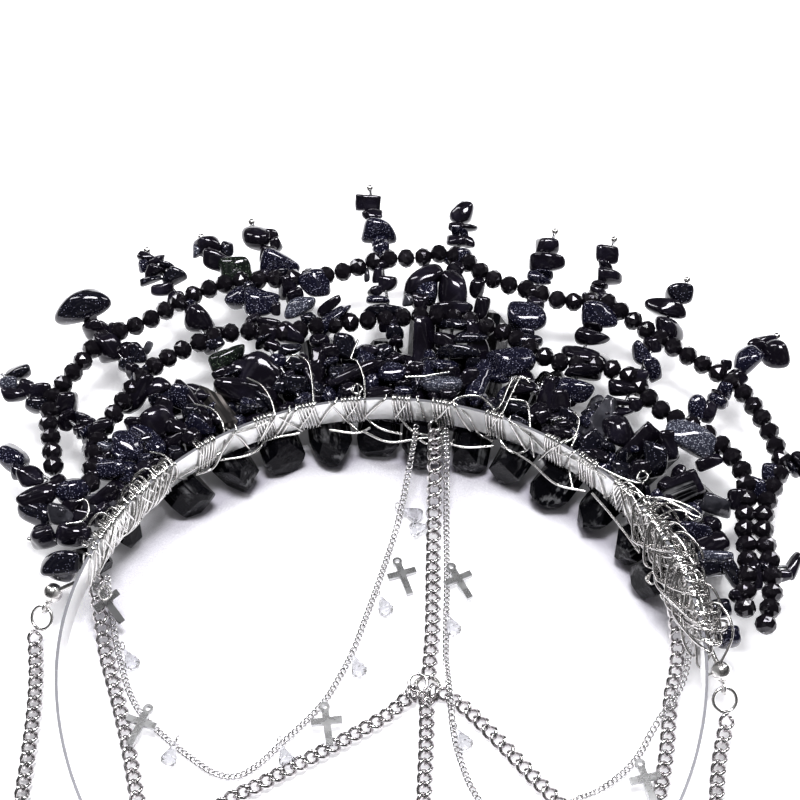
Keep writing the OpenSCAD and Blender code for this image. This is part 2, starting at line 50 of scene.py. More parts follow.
# Sizes from the part's source
BAND_R = 67.3
BAND_T = 0.7
FOOT_R = BAND_R + BAND_T / 2 + 0.12 + 0.5 + 0.6
SPIKE_Z = 13.2
PIN_D = 0.8
BEAD_PITCH = 4.15
WIRE_D = 0.58

# Headpins. Columns: foot bearing, tip bearing, tip radius, 1 where a ball shows
SPIKES = [
    (-64, -69, 83, 0), (-59, -58, 103, 0), (-48, -49.2, 119, 0), (-36.8, -36.9, 126, 1),
    (-23.5, -26.6, 132, 1), (-14.7, -20.5, 131, 1), (-5.7, -14.7, 132.3, 1), (4, -1.6, 140.3, 1),
    (12.1, 8.3, 136.5, 0), (22.8, 18.9, 131.7, 1), (35.6, 25.2, 134.6, 1), (43.6, 34.5, 131, 1),
    (52, 46.4, 129.7, 1), (62, 62.2, 110, 0), (73.4, 76, 97, 0),
]

# Routes of the chains. Where a point has no height, the chain lies on the table, its middle
# this high
HEAVY_LOW = 1.25
FINE_LOW = 0.7
HEAVY_CHAINS = {
    "centre_chain": [
        (12, -3.4, 10.2), (11.9, -8, 10.2), (11.8, -12.5, 10.1), (11.7, -16.2, 8.6), (11.6, -20, 5.9),
        (11.5, -24, 3.4), (11.4, -28.5, 1.7), (11.3, -34), (11.1, -45), (10.8, -55), (10.1, -64.1),
    ],
    "left_swag": [
        (-62.8, -44.6, 7.4), (-62.3, -48, 6.3), (-61.6, -51.6, 3.9), (-60.8, -55.4, 1.9), (-59.4, -61),
        (-56.5, -70), (-53.4, -80.5), (-51.3, -89), (-49.7, -95.5), (-47.6, -101.4), (-43.6, -104.6),
        (-39.2, -103), (-35.2, -98.6), (-31.4, -94.8), (-25.6, -91.5), (-18.4, -87.2), (-11.3, -82.9),
        (-4.6, -78.7), (1.6, -74.4), (6.4, -69.4),
    ],
    "right_swag": [
        (63.4, -52.5, 7.4), (63.5, -55.4, 6.3), (63.7, -58.3, 3.9), (63.6, -61.2, 1.9), (63, -65),
        (61.6, -70), (60.6, -76.5), (59.4, -84), (57.2, -93), (54.8, -99.4), (50.4, -103), (44.6, -102.6),
        (39.2, -98.6), (34.2, -92.8), (28.8, -86.2), (23.6, -79.8), (18.2, -73.6), (13, -69.3),
    ],
    "down_chain": [
        (9.5, -71.3), (9.4, -80), (8.8, -94), (8.6, -108), (8.8, -122), (9, -137.6),
    ],
    "back_chain": [
        (-75.5, -56.4, 2.4), (-75, -60, 1.4), (-74.3, -65), (-73.7, -74), (-73.6, -86), (-73.6, -96),
        (-72, -106), (-67.4, -115.4), (-60, -123), (-50, -129), (-36, -134), (-18, -138), (0, -139.8),
        (18, -139.6), (34, -136.6), (47, -131), (57, -123), (64, -113), (67.6, -102), (69, -93),
        (70.2, -86), (71.6, -80.6, 1.8), (72.4, -77.4, 2.8),
    ],
}
FINE_CHAINS = {
    "left_fine_chain": [
        (-60.2, -44.6, 8.2), (-59.8, -47.6, 6.4), (-59.1, -51, 3.6), (-58.4, -54.6, 1.4), (-57.4, -58.4),
        (-55.7, -64), (-53.6, -69.6), (-50.4, -74.8), (-45.2, -80), (-39.8, -84.6), (-34.6, -88.2),
        (-30, -88.9), (-25.6, -86.2), (-21, -81.2), (-16, -75.8), (-12, -70.6), (-9, -64.6), (-6.4, -58.6),
        (-4, -50.8), (-1.8, -43.4), (0.4, -35.6), (2.3, -28.6, 0.9), (3.6, -23.4, 2.1), (4.8, -18.6, 4.8),
        (5.9, -13.8, 8.4), (6.6, -10.4, 9.7), (7.2, -6.8, 9.9), (7.6, -3.2, 9.9),
    ],
    "right_fine_chain": [
        (14.6, -4.2, 9.9), (14.6, -8, 9.9), (14.5, -11.8, 9.7), (14.4, -15.6, 7.8), (14.4, -19.6, 4.8),
        (14.4, -24, 2), (14.4, -28.4, 0.9), (14.4, -34), (14.3, -41), (14.1, -48), (13.9, -54),
        (13.8, -60, 0.8), (14, -64, 1.9), (14.2, -67.4, 3.1), (14.4, -70.6, 3.5), (14.6, -73.8, 2.9),
        (14.9, -77.2, 1.3), (15.5, -81), (16.7, -86), (18.6, -91.6), (21.6, -96.6), (26, -99.8),
        (30.6, -100.4, 1.2), (34.4, -99.2, 2.8), (37.8, -97, 3.5), (41.2, -94.6, 2.5), (44.6, -92.4, 1),
        (48.4, -89.6), (51.8, -86.4), (54.4, -82.8), (56.4, -79.4, 1.6), (58.6, -76.4, 3.2),
        (61.2, -73, 3.5), (63.6, -69.2, 4.4), (65, -65, 6.2), (65.4, -61.6, 7.8),
    ],
}

# Glass drops: middle, and bearing of the pointed end, which meets a fine chain
DROPS = [
    (-54.7, -60.7, -30), (-43.8, -84, 15), (-20.3, -84.2, -20), (-5.5, -62.4, -20), (0.1, -46.7, -22),
    (6.3, -21.7, -60), (8.6, -26, 70), (15, -51.9, -20), (16.7, -80.4, -27),
]

# The photograph's camera: place, height angle, focal length and half the frame in pixels, and
# how far from its middle line a stone still shows
EYE = Vector((3.8, -286.75, 357.72))
EYE_TILT = math.radians(50)
FOCAL = 1935
HALF_FRAME = 400
FRAME_EDGE = 396
PHOTO_RIGHT = Vector((1, 0, 0))
PHOTO_UP = Vector((0, math.sin(EYE_TILT), math.cos(EYE_TILT)))
PHOTO_AHEAD = Vector((0, math.cos(EYE_TILT), -math.sin(EYE_TILT)))


def at(bearing, radius, z):
    """A point at a bearing from the crown and a radius from the arch's middle."""
    b = math.radians(bearing)
    return Vector((radius * math.sin(b), radius * math.cos(b) - BAND_R, z))


def on_photo(px, py, z):
    """The point at that height that the photograph shows at a pixel."""
    ray = PHOTO_AHEAD * FOCAL + PHOTO_RIGHT * (px - HALF_FRAME) - PHOTO_UP * (py - HALF_FRAME)
    return EYE + ray * ((z - EYE.z) / ray.z)


def in_photo(point):
    """Whether a point lies between the left and the right edge of the photograph."""
    depth = (point - EYE).dot(PHOTO_AHEAD)
    return abs((point - EYE).dot(PHOTO_RIGHT) / depth * FOCAL) < FRAME_EDGE


# Helpers for node trees
def feed(node, inputs):
    """Gives a node its inputs: each a value, or a socket to link from."""
    for name, value in inputs.items():
        socket = node.inputs[name]
        if isinstance(value, bpy.types.NodeSocket):
            node.id_data.links.new(value, socket)
        else:
            socket.default_value = (*value, 1) if socket.type == "RGBA" else value


def put(tree, kind, inputs=(), **settings):
    """The outputs of a new node of that kind, with those inputs and settings."""
    node = tree.nodes.new(kind)
    for name, value in settings.items():
        setattr(node, name, value)
    feed(node, dict(inputs))
    return node.outputs


def maths(operation, *values):
    """The result of one Math node, in the tree of the sockets among its values."""
    tree = next(v.id_data for v in values if isinstance(v, bpy.types.NodeSocket))
    return put(tree, "ShaderNodeMath", dict(enumerate(values)), operation=operation)[0]


def times(a, b):
    """The product of two values."""
    return maths("MULTIPLY", a, b)


def mix_colour(share, a, b):
    """Two colours mixed by a share."""
    return put(share.id_data, "ShaderNodeMix", {0: share, 6: a, 7: b}, data_type="RGBA")[2]


def span(value, *ends):
    """A value remapped from one range to another, or to 0 to 1, and kept inside it."""
    return put(value.id_data, "ShaderNodeMapRange", dict(enumerate((value, *ends))))[0]


def noise(place, scale, detail):
    """The value of a soft noise."""
    return put(place.id_data, "ShaderNodeTexNoise", {"Vector": place, "Scale": scale, "Detail": detail})[0]


def node_group(name, kind, inputs, outputs):
    """An empty group with its named inputs and outputs. An input is given by its starting
    number, or by its kind where it has none."""
    group = bpy.data.node_groups.new(name, kind)
    for label, value in inputs.items():
        plain = {float: "Float", int: "Int"}.get(type(value), value)
        socket = group.interface.new_socket(label, in_out="INPUT", socket_type=f"NodeSocket{plain}")
        if plain != value:
            socket.default_value = value
    for label, plain in outputs.items():
        group.interface.new_socket(label, in_out="OUTPUT", socket_type=f"NodeSocket{plain}")
    return group, group.nodes.new("NodeGroupInput").outputs, group.nodes.new("NodeGroupOutput")


# Helpers for meshes
def show(name, data):
    """A new object in the scene."""
    made = bpy.data.objects.new(name, data)
    bpy.context.collection.objects.link(made)
    return made


def new_piece(name, vertices, faces, materials):
    """A smooth mesh object from points in millimetres."""
    mesh = bpy.data.meshes.new(name)
    mesh.from_pydata([tuple(float(c) * MM for c in v) for v in vertices], [], faces)
    for material in materials:
        mesh.materials.append(material)
    mesh.validate()
    mesh.shade_smooth()
    return show(name, mesh)


def install(piece, slot, *nodes):
    """The piece rides with the headband and stands for those nodes. Its slot is not used."""
    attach(piece, "root")
    if nodes:
        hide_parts(*nodes)


def joined(mesh):
    """A mesh opened for editing, with the corners of its faces joined."""
    bm = bmesh.new()
    bm.from_mesh(mesh)
    bmesh.ops.remove_doubles(bm, verts=bm.verts, dist=1e-6)
    return bm


def loose_parts(node):
    """The corners of each separate solid of a node, in millimetres."""
    bm = joined(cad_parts[node].data)
    seen, parts = set(), []
    for start in bm.verts:
        if start in seen:
            continue
        seen.add(start)
        stack, part = [start], []
        while stack:
            vertex = stack.pop()
            part.append(vertex.co / MM)
            for edge in vertex.link_edges:
                other = edge.other_vert(vertex)
                if other not in seen:
                    seen.add(other)
                    stack.append(other)
        parts.append(part)
    bm.free()
    return parts


def block_middle(points):
    """The middle of the upright block that holds the points."""
    low, high = (Vector([limit(p[k] for p in points) for k in range(3)]) for limit in (min, max))
    return (low + high) / 2


def rounded_route(points, step):
    """A smooth path through the points, as points about a step apart."""
    pts = [Vector(p) for p in points]
    pts = [pts[0] * 2 - pts[1]] + pts + [pts[-1] * 2 - pts[-2]]
    path = []
    for k in range(1, len(pts) - 2):
        a, b, c, d = pts[k - 1:k + 3]
        count = max(1, round((c - b).length / step))
        for m in range(count):
            t = m / count
            path.append(0.5 * ((2 * b) + (c - a) * t + (2 * a - 5 * b + 4 * c - d) * t * t
                               + (3 * b - a - 3 * c + d) * t ** 3))
    path.append(pts[-2])
    return path


# Shader groups
def make_flakes():
    """Bright flakes that lie at all angles inside a dark stone."""
    group, given, result = node_group(
        "flakes", "ShaderNodeTree",
        {"Vector": "Vector", "Scale": 3500.0, "Share": 0.3, "Cloud": 0.4, "Stone": "Color", "Flake": "Color"},
        {"Colour": "Color", "Mask": "Float"})
    cells = put(group, "ShaderNodeTexVoronoi", {"Vector": given["Vector"], "Scale": given["Scale"]})
    pick = put(group, "ShaderNodeSeparateColor", {0: cells["Color"]})
    clouds = noise(given["Vector"], 260.0, 3.0)
    drift = times(maths("SUBTRACT", clouds, 0.5), given["Cloud"])
    limit = maths("SUBTRACT", maths("SUBTRACT", 1.0, given["Share"]), drift)
    chosen = maths("GREATER_THAN", pick[0], limit)
    near = span(cells["Distance"], 0.5, 0.15)
    mask = times(times(chosen, near), span(pick[1], 0, 1, 0.15, 1))
    feed(result, {"Colour": mix_colour(mask, given["Stone"], given["Flake"]), "Mask": mask})
    return group


def make_polish_marks():
    """Fine scratches, smears and a soft waviness on polished metal."""
    group, given, result = node_group(
        "polish_marks", "ShaderNodeTree",
        {"Vector": "Vector", "Roughness": 0.15, "Wear": 0.1, "Metal": "Color", "Tarnish": "Color"},
        {"Colour": "Color", "Roughness": "Float", "Height": "Float"})
    smear = noise(given["Vector"], 320.0, 5.0)
    fine = noise(given["Vector"], 2600.0, 3.0)
    spots = span(smear, 0.45, 0.75)
    marks = maths("ADD", spots, fine)
    feed(result, {
        "Colour": mix_colour(times(spots, 0.6), given["Metal"], given["Tarnish"]),
        "Roughness": maths("MULTIPLY_ADD", marks, given["Wear"], given["Roughness"]),
        "Height": maths("MULTIPLY_ADD", fine, 0.3, smear)})
    return group


def make_growth_lines():
    """Fine ridges along a crystal, with chipped steps across them here and there."""
    group, given, result = node_group(
        "growth_lines", "ShaderNodeTree", {"Along": "Vector", "Ridges": 900.0, "Chips": 0.3},
        {"Height": "Float", "Tone": "Float"})
    stretch = put(group, "ShaderNodeMapping", {"Vector": given["Along"], "Scale": (1.0, 0.04, 1.0)})[0]
    ridges = noise(stretch, given["Ridges"], 4.0)
    steps = put(group, "ShaderNodeTexVoronoi", {"Vector": given["Along"], "Scale": 330.0})["Distance"]
    feed(result, {"Height": maths("ADD", ridges, times(steps, given["Chips"])), "Tone": ridges})
    return group


FLAKES = make_flakes()
POLISH_MARKS = make_polish_marks()
GROWTH_LINES = make_growth_lines()


# Materials
def new_material(name, colour):
    """A material with its tree, its Principled shader and the Object coordinate."""
    material = bpy.data.materials.new(name)
    material.use_nodes = True
    material.diffuse_color = (*colour, 1)
    tree = material.node_tree
    shader = tree.nodes["Principled BSDF"]
    feed(shader, {"Base Color": colour})
    return material, tree, shader, put(tree, "ShaderNodeTexCoord")["Object"]


def stone_gloss(shader, coat, coat_roughness, specular=0.35):
    """The dark gloss that all the stones share."""
    feed(shader, {"Specular IOR Level": specular, "Specular Tint": (0.92, 0.88, 1.0),
                  "Coat Weight": coat, "Coat Roughness": coat_roughness})


def bump(shader, height, strength, distance):
    """Relief on the surface from a height."""
    inputs = {"Height": height, "Strength": strength, "Distance": distance}
    feed(shader, {"Normal": put(height.id_data, "ShaderNodeBump", inputs)[0]})


def metal(name, colour, tarnish, roughness, wear, relief):
    """Plated wire and sheet metal."""
    material, tree, shader, place = new_material(name, colour)
    marks = put(tree, "ShaderNodeGroup", {"Vector": place, "Roughness": roughness, "Wear": wear,
                                          "Metal": colour, "Tarnish": tarnish}, node_tree=POLISH_MARKS)
    feed(shader, {"Metallic": 1.0, "Base Color": marks["Colour"], "Roughness": marks["Roughness"]})
    bump(shader, marks["Height"], relief, 0.00006)
    return material


def paint_edge_shade(material, colour):
    """Painted shade: the strip's faces that look up or down, its top and bottom edges, turned darker."""
    tree = material.node_tree
    shader = tree.nodes["Principled BSDF"]
    normal = put(tree, "ShaderNodeNewGeometry")["True Normal"]
    upright = put(tree, "ShaderNodeSeparateXYZ", {0: normal})[2]
    edge = span(maths("ABSOLUTE", upright), 0.7, 0.9)
    face = shader.inputs["Base Color"].links[0].from_socket
    feed(shader, {"Base Color": mix_colour(edge, face, colour)})


def flaked_stone(name, stone, flake, share, cloud, scale, roughness):
    """A polished stone full of tiny bright flakes."""
    material, tree, shader, place = new_material(name, stone)
    grains = put(tree, "ShaderNodeGroup", {"Vector": place, "Scale": scale, "Share": share, "Cloud": cloud,
                                           "Stone": stone, "Flake": flake}, node_tree=FLAKES)
    feed(shader, {"Base Color": grains["Colour"], "Roughness": span(grains["Mask"], 0, 1, roughness, 0.4)})
    stone_gloss(shader, 0.4, 0.04)
    bump(shader, noise(place, 420.0, 2.0), 0.25, 0.0003)
    return material


def polished_stone(name, stone, cloud, roughness):
    """A plain dark stone with faint clouds in it and soft dents from tumbling."""
    material, tree, shader, place = new_material(name, stone)
    clouds = noise(place, 180.0, 6.0)
    feed(shader, {"Base Color": mix_colour(span(clouds, 0.5, 0.8), stone, cloud),
                  "Roughness": span(clouds, 0.3, 0.8, roughness, roughness + 0.12)})
    stone_gloss(shader, 0.3, 0.03)
    bump(shader, noise(place, 300.0, 2.0), 0.3, 0.0004)
    return material


def crystal(name, dark, painted_streak, roughness, ridges, chips, painted_streak_start):
    """A raw crystal: ridges along it, and pale streaks along the ridges in cloudy patches, painted
    reflections.
    """
    material, tree, shader, place = new_material(name, dark)
    along = put(tree, "ShaderNodeAttribute", attribute_name="along")["Vector"]
    lines = put(tree, "ShaderNodeGroup", {"Along": along, "Ridges": ridges, "Chips": chips},
                node_tree=GROWTH_LINES)
    clouds = noise(place, 140.0, 7.0)
    # Painted reflection: pale streaks along the ridges, in cloudy patches
    share = times(span(clouds, painted_streak_start, painted_streak_start + 0.2), span(lines["Tone"], 0.48, 0.62))
    feed(shader, {"Base Color": mix_colour(share, dark, painted_streak),
                  "Roughness": span(lines["Tone"], 0.3, 0.7, roughness, roughness + 0.15)})
    bump(shader, lines["Height"], 0.8, 0.0003)
    stone_gloss(shader, 0.08, 0.03, 0.08)
    return material


def clear_stone(name, colour, rim, roughness):
    """Clear glass or quartz with faint waves, and a painted shade that darkens it where it is seen edge on.
    """
    material, tree, shader, place = new_material(name, colour)
    # Painted shade: the colour darkens towards the rim where the glass is seen edge on
    facing = put(tree, "ShaderNodeLayerWeight", {"Blend": 0.4})["Facing"]
    waves = noise(place, 700.0, 2.0)
    feed(shader, {"Transmission Weight": 1.0, "IOR": 1.5,
                  "Base Color": mix_colour(span(facing, 0.15, 0.7), colour, rim),
                  "Roughness": span(waves, 0.3, 0.8, roughness, roughness + 0.06)})
    bump(shader, waves, 0.2, 0.0002)
    return material


# Metals: colour, tarnish, roughness, wear, relief
STRIP_METAL = metal("strip_metal", (0.98, 0.98, 0.98), (0.86, 0.86, 0.88), 0.42, 0.08, 0.15)
WIRE_METAL = metal("wire_metal", (0.78, 0.77, 0.76), (0.26, 0.24, 0.23), 0.15, 0.08, 0.2)
WARM_WIRE = metal("warm_wire", (0.7, 0.685, 0.68), (0.12, 0.105, 0.11), 0.11, 0.08, 0.2)
CHAIN_METAL = metal("chain_metal", (0.63, 0.61, 0.62), (0.27, 0.25, 0.26), 0.1, 0.1, 0.2)
FINE_METAL = metal("fine_chain_metal", (0.66, 0.65, 0.66), (0.4, 0.38, 0.38), 0.14, 0.1, 0.2)
CROSS_METAL = metal("cross_metal", (0.44, 0.44, 0.45), (0.3, 0.3, 0.31), 0.2, 0.12, 0.4)
PIN_METAL = metal("pin_metal", (0.45, 0.45, 0.47), (0.25, 0.25, 0.27), 0.18, 0.1, 0.1)
THREAD_METAL = metal("thread_metal", (0.3, 0.3, 0.32), (0.16, 0.16, 0.18), 0.25, 0.1, 0.1)
# Painted shade: darker colour on the strip's top and bottom edges
paint_edge_shade(STRIP_METAL, (0.2, 0.2, 0.22))
# Crystals: dark part, pale streaks painted as reflections, roughness, ridges, chips, where the painted
# streaks start
BLACK_CRYSTAL = crystal("black_crystal", (0.002, 0.002, 0.003), (0.17, 0.17, 0.18), 0.06, 900.0, 0.6, 0.5)
SMOKY_CRYSTAL = crystal("smoky_crystal", (0.015, 0.014, 0.014), (0.3, 0.27, 0.26), 0.3, 500.0, 0.9, 0.42)
DRUZY_CRYSTAL = crystal("druzy_crystal", (0.02, 0.02, 0.026), (0.34, 0.34, 0.38), 0.25, 700.0, 1.6, 0.45)
# Flaked stones: stone, flake, share of flakes, how they gather in clouds, their scale, roughness
NAVY_FLAKES = flaked_stone(
    "navy_flaked_stone", (0.005, 0.005, 0.014), (0.5, 0.5, 0.68), 0.24, 0.5, 3800.0, 0.08)
DARK_FLAKES = flaked_stone(
    "dark_flaked_stone", (0.004, 0.004, 0.008), (0.34, 0.34, 0.46), 0.12, 0.4, 3400.0, 0.07)
GREEN_FLAKES = flaked_stone(
    "green_flaked_stone", (0.005, 0.008, 0.006), (0.24, 0.32, 0.22), 0.22, 0.5, 3400.0, 0.1)
SILVER_FLAKES = flaked_stone(
    "silver_flaked_stone", (0.028, 0.03, 0.046), (0.75, 0.78, 0.95), 0.5, 0.4, 3200.0, 0.1)
# Plain stones: stone, clouds, roughness
BLACK_STONE = polished_stone("black_polished_stone", (0.004, 0.003, 0.006), (0.012, 0.01, 0.02), 0.05)
GREY_STONE = polished_stone("grey_polished_stone", (0.02, 0.02, 0.026), (0.1, 0.1, 0.12), 0.12)
BEAD_GLASS = polished_stone("black_bead_glass", (0.005, 0.004, 0.006), (0.011, 0.009, 0.013), 0.04)
# Clear ones: colour, rim darkened as painted shade, roughness
CLEAR_QUARTZ = clear_stone("clear_quartz", (0.95, 0.94, 0.98), (0.7, 0.69, 0.75), 0.02)
DROP_GLASS = clear_stone("drop_glass", (0.79, 0.79, 0.82), (0.33, 0.33, 0.36), 0.0)


# Geometry trees
def geometry_tree(name, inputs):
    """An empty geometry tree with those inputs and a material."""
    return node_group(name, "GeometryNodeTree", {"Geometry": "Geometry", **inputs, "Material": "Material"},
                      {"Geometry": "Geometry"})


def close_tree(tree, given, result, geometry, smooth):
    """Real faces, shaded and with their material, as the tree's result."""
    real = put(tree, "GeometryNodeRealizeInstances", {"Geometry": geometry})[0]
    shaded = put(tree, "GeometryNodeSetShadeSmooth", {"Geometry": real, "Shade Smooth": smooth})[0]
    coated = put(tree, "GeometryNodeSetMaterial", {"Geometry": shaded, "Material": given["Material"]})[0]
    feed(result, {"Geometry": coated})
    return tree


def wire_section(given):
    """The round section of a wire."""
    return put(given["Wire"].id_data, "GeometryNodeCurvePrimitiveCircle",
               {"Resolution": given["Sides"], "Radius": times(given["Wire"], 0.5)})[0]


def aimed(tree, inputs, axis, pivot="AUTO"):
    """A rotation that turns an axis towards a vector."""
    return put(tree, "FunctionNodeAlignRotationToVector", inputs, axis=axis, pivot_axis=pivot)[0]


def link_chain_tree():
    """Twisted oval links, one after another along a path."""
    tree, given, result = geometry_tree("link_chain", {
        "Pitch": 0.0029, "Link Length": 0.0044, "Link Width": 0.0036, "Wire": 0.0008, "Twist": 0.8,
        "Sides": 7})
    path = put(tree, "GeometryNodeMeshToCurve", {"Mesh": given["Geometry"]})[0]
    spaced = put(tree, "GeometryNodeResampleCurve", {"Curve": path, "Length": given["Pitch"]},
                 mode="LENGTH")[0]
    circle = put(tree, "GeometryNodeCurvePrimitiveCircle", {"Resolution": 18, "Radius": 1.0})[0]
    where = put(tree, "ShaderNodeSeparateXYZ", {0: put(tree, "GeometryNodeInputPosition")[0]})
    along, across = (
        times(where[k], times(maths("SUBTRACT", given[label], given["Wire"]), 0.5))
        for k, label in enumerate(("Link Length", "Link Width")))
    turn = times(where[0], given["Twist"])
    side, rise = (times(across, maths(part, turn)) for part in ("COSINE", "SINE"))
    bent = put(tree, "ShaderNodeCombineXYZ", {0: along, 1: side, 2: rise})[0]
    link_path = put(tree, "GeometryNodeSetPosition", {"Geometry": circle, "Position": bent})[0]
    link = put(tree, "GeometryNodeCurveToMesh",
               {"Curve": link_path, "Profile Curve": wire_section(given)})[0]
    heading = aimed(tree, {"Vector": put(tree, "GeometryNodeInputTangent")[0]}, "X")
    level = aimed(tree, {"Rotation": heading, "Vector": UP}, "Z", "X")
    links = put(tree, "GeometryNodeInstanceOnPoints",
                {"Points": spaced, "Instance": link, "Rotation": level})[0]
    return close_tree(tree, given, result, links, True)


def round_wire_tree():
    """Round wire along each path."""
    tree, given, result = geometry_tree("round_wire", {"Wire": 0.0005, "Sides": 6})
    path = put(tree, "GeometryNodeMeshToCurve", {"Mesh": given["Geometry"]})[0]
    tube = put(tree, "GeometryNodeCurveToMesh",
               {"Curve": path, "Profile Curve": wire_section(given), "Fill Caps": True})[0]
    return close_tree(tree, given, result, tube, True)


def cut_bead_tree():
    """A bead cut with flat facets on each point, its bore along the string."""
    tree, given, result = geometry_tree("cut_beads", {"Width": 0.004, "Length": 0.0036, "Seed": 3})
    ball = put(tree, "GeometryNodeMeshIcoSphere", {"Radius": 0.5, "Subdivisions": 2})[0]
    axis = put(tree, "GeometryNodeInputNamedAttribute", {"Name": "axis"}, data_type="FLOAT_VECTOR")[0]
    spin = put(tree, "FunctionNodeRandomValue", {"Max": 6.28, "Seed": given["Seed"]}, data_type="FLOAT")[1]
    turned = put(tree, "FunctionNodeRotateRotation",
                 {"Rotation": aimed(tree, {"Vector": axis}, "X"),
                  "Rotate By": put(tree, "ShaderNodeCombineXYZ", {0: spin})[0]}, rotation_space="LOCAL")[0]
    size = put(tree, "ShaderNodeCombineXYZ", {0: given["Length"], 1: given["Width"], 2: given["Width"]})[0]
    beads = put(tree, "GeometryNodeInstanceOnPoints",
                {"Points": given["Geometry"], "Instance": ball, "Rotation": turned, "Scale": size})[0]
    return close_tree(tree, given, result, beads, False)


def grown(name, source, tree, values):
    """The plain mesh that a geometry tree makes of a source mesh."""
    holder = show("source", source)
    modifier = holder.modifiers.new("shape", "NODES")
    modifier.node_group = tree
    for item in tree.interface.items_tree:
        if item.item_type == "SOCKET" and item.in_out == "INPUT" and item.name in values:
            modifier[item.identifier] = values[item.name]
    depsgraph = bpy.context.evaluated_depsgraph_get()
    mesh = bpy.data.meshes.new_from_object(holder.evaluated_get(depsgraph))
    bpy.data.objects.remove(holder)
    mesh.name = name
    return show(name, mesh)


def path_mesh(paths):
    """Open paths in millimetres as the edges of one mesh."""
    vertices, edges = [], []
    for path in paths:
        first = len(vertices)
        vertices += [tuple(c * MM for c in p) for p in path]
        edges += [(first + k, first + k + 1) for k in range(len(path) - 1)]
    mesh = bpy.data.meshes.new("paths")
    mesh.from_pydata(vertices, edges, [])
    return mesh


LINK_CHAIN = link_chain_tree()
ROUND_WIRE = round_wire_tree()
CUT_BEADS = cut_bead_tree()


def wire_piece(name, paths, thickness, sides, material, slot, *nodes):
    """Round wire along paths in millimetres, as one piece."""
    values = {"Wire": thickness * MM, "Sides": sides, "Material": material}
    install(grown(name, path_mesh(paths), ROUND_WIRE, values), slot, *nodes)


# Stones
def sphere_directions(level):
    """The corners of an even ball and its triangles."""
    bm = bmesh.new()
    bmesh.ops.create_icosphere(bm, subdivisions=level, radius=1)
    directions = np.array([v.co for v in bm.verts])
    directions /= np.linalg.norm(directions, axis=1)[:, None]
    triangles = [tuple(v.index for v in f.verts) for f in bm.faces]
    bm.free()
    return directions, triangles


BALL_POINTS, BALL_FACES = sphere_directions(4)
CHIP_POINTS, CHIP_FACES = sphere_directions(3)
WAVINESS = 0.012


def flat_sides(points):
    """The flat sides of the block that holds the points: outward directions and distances."""
    bm = bmesh.new()
    for p in points:
        bm.verts.new(p)
    bmesh.ops.convex_hull(bm, input=bm.verts)
    bm.normal_update()
    sides = []
    for face in sorted(bm.faces, key=lambda f: -f.calc_area()):
        normal = face.normal.copy()
        if normal.length > 0.5 and all(normal.dot(n) < 0.99 for n, _ in sides):
            sides.append((normal, max(normal.dot(v.co) for v in bm.verts)))
    bm.free()
    return sides


def worn_reach(ball, normals, reach, crispness):
    """How far a stone reaches each way: out to its flat sides, and rounded between them."""
    closeness = np.maximum(ball @ normals.T, 0) / reach
    return np.sum(closeness ** crispness, axis=1) ** (-1 / crispness)


def tumbled(points, crispness, seed):
    """A stone worn round inside the flat sides of the block that holds the points."""
    middle, sides = block_middle(points), flat_sides(points)
    reach = np.array([max(0.3, d - n.dot(middle)) for n, d in sides])
    radius = worn_reach(BALL_POINTS, np.array([n for n, _ in sides]), reach, crispness)
    rng = np.random.default_rng(seed)
    waves = np.zeros(len(BALL_POINTS))
    for _ in range(6):
        waves += np.sin(BALL_POINTS @ rng.normal(size=3) * 2.2 + rng.uniform(0, 6.28))
    radius *= 1 - WAVINESS * (waves + 4).clip(0)
    return BALL_POINTS * radius[:, None] + np.array(middle)


def worn_stone(flats, crispness, seed, ball=BALL_POINTS):
    """A stone of about unit size with random flat sides, worn round between them."""
    rng = np.random.default_rng(seed)
    normals = np.vstack([rng.normal(size=(flats, 3)), np.eye(3), -np.eye(3)])
    normals /= np.linalg.norm(normals, axis=1)[:, None]
    reach = np.concatenate([rng.uniform(0.74, 0.99, flats), np.ones(6)])
    radius = worn_reach(ball, normals, reach, crispness)
    for _ in range(5):
        radius *= 1 - WAVINESS * np.sin(ball @ rng.normal(size=3) * 2.4 + rng.uniform(0, 6.28))
    stone = ball * radius[:, None]
    low, high = stone.min(axis=0), stone.max(axis=0)
    return (stone - (low + high) / 2) / ((high - low) / 2)


def filled_out(stone, points, direction):
    """The stone stretched until it fills the room of its solid along and across its pin."""
    for axis in (direction, direction.cross(UP), UP):
        room, now = np.array(points) @ np.array(axis), stone @ np.array(axis)
        stretched = room.min() + (now - now.min()) * (room.max() - room.min()) / (now.max() - now.min())
        stone = stone + np.outer(stretched - now, np.array(axis))
    return stone


# Stones as the photograph shows them. Columns: x and y in its pixels, half length and half
# height in pixels, turn in degrees, and two letters for the shape and the finish. A row of
# four numbers is a level chip of black stone
BLOCKS = [
    (260, 374, 22, 26, 75, "cB"), (155, 426, 23, 20, 35, "cB"), (318, 374, 26, 8, 86, "bB"),
    (547, 403, 28, 12, 82, "bB"), (478, 352, 34, 12, 92, "bB"), (424, 352, 36, 12, 88, "bB"),
    (637, 446, 26, 11, 47, "bB"), (682, 488, 21, 15, 25, "bB"), (600, 424, 30, 14, 60, "bK"),
    (588, 446, 18, 12, 40, "bD"), (563, 424, 13, 8, 15, "bQ"), (200, 428, 16, 11, -30, "cN"),
    (176, 440, 14, 9, 30, "cB"), (135, 478, 14, 10, 40, "cN"), (162, 396, 13, 12, 0, "cN"),
    (118, 462, 13, 9, 30, "cD"), (222, 420, 13, 9, -20, "cB"), (97, 506, 18, 15, 45, "bK"),
    (84, 517, 12, 10), (68, 524, 10, 9, 0, "cN"), (140, 450, 12, 10), (120, 478, 11, 9),
]
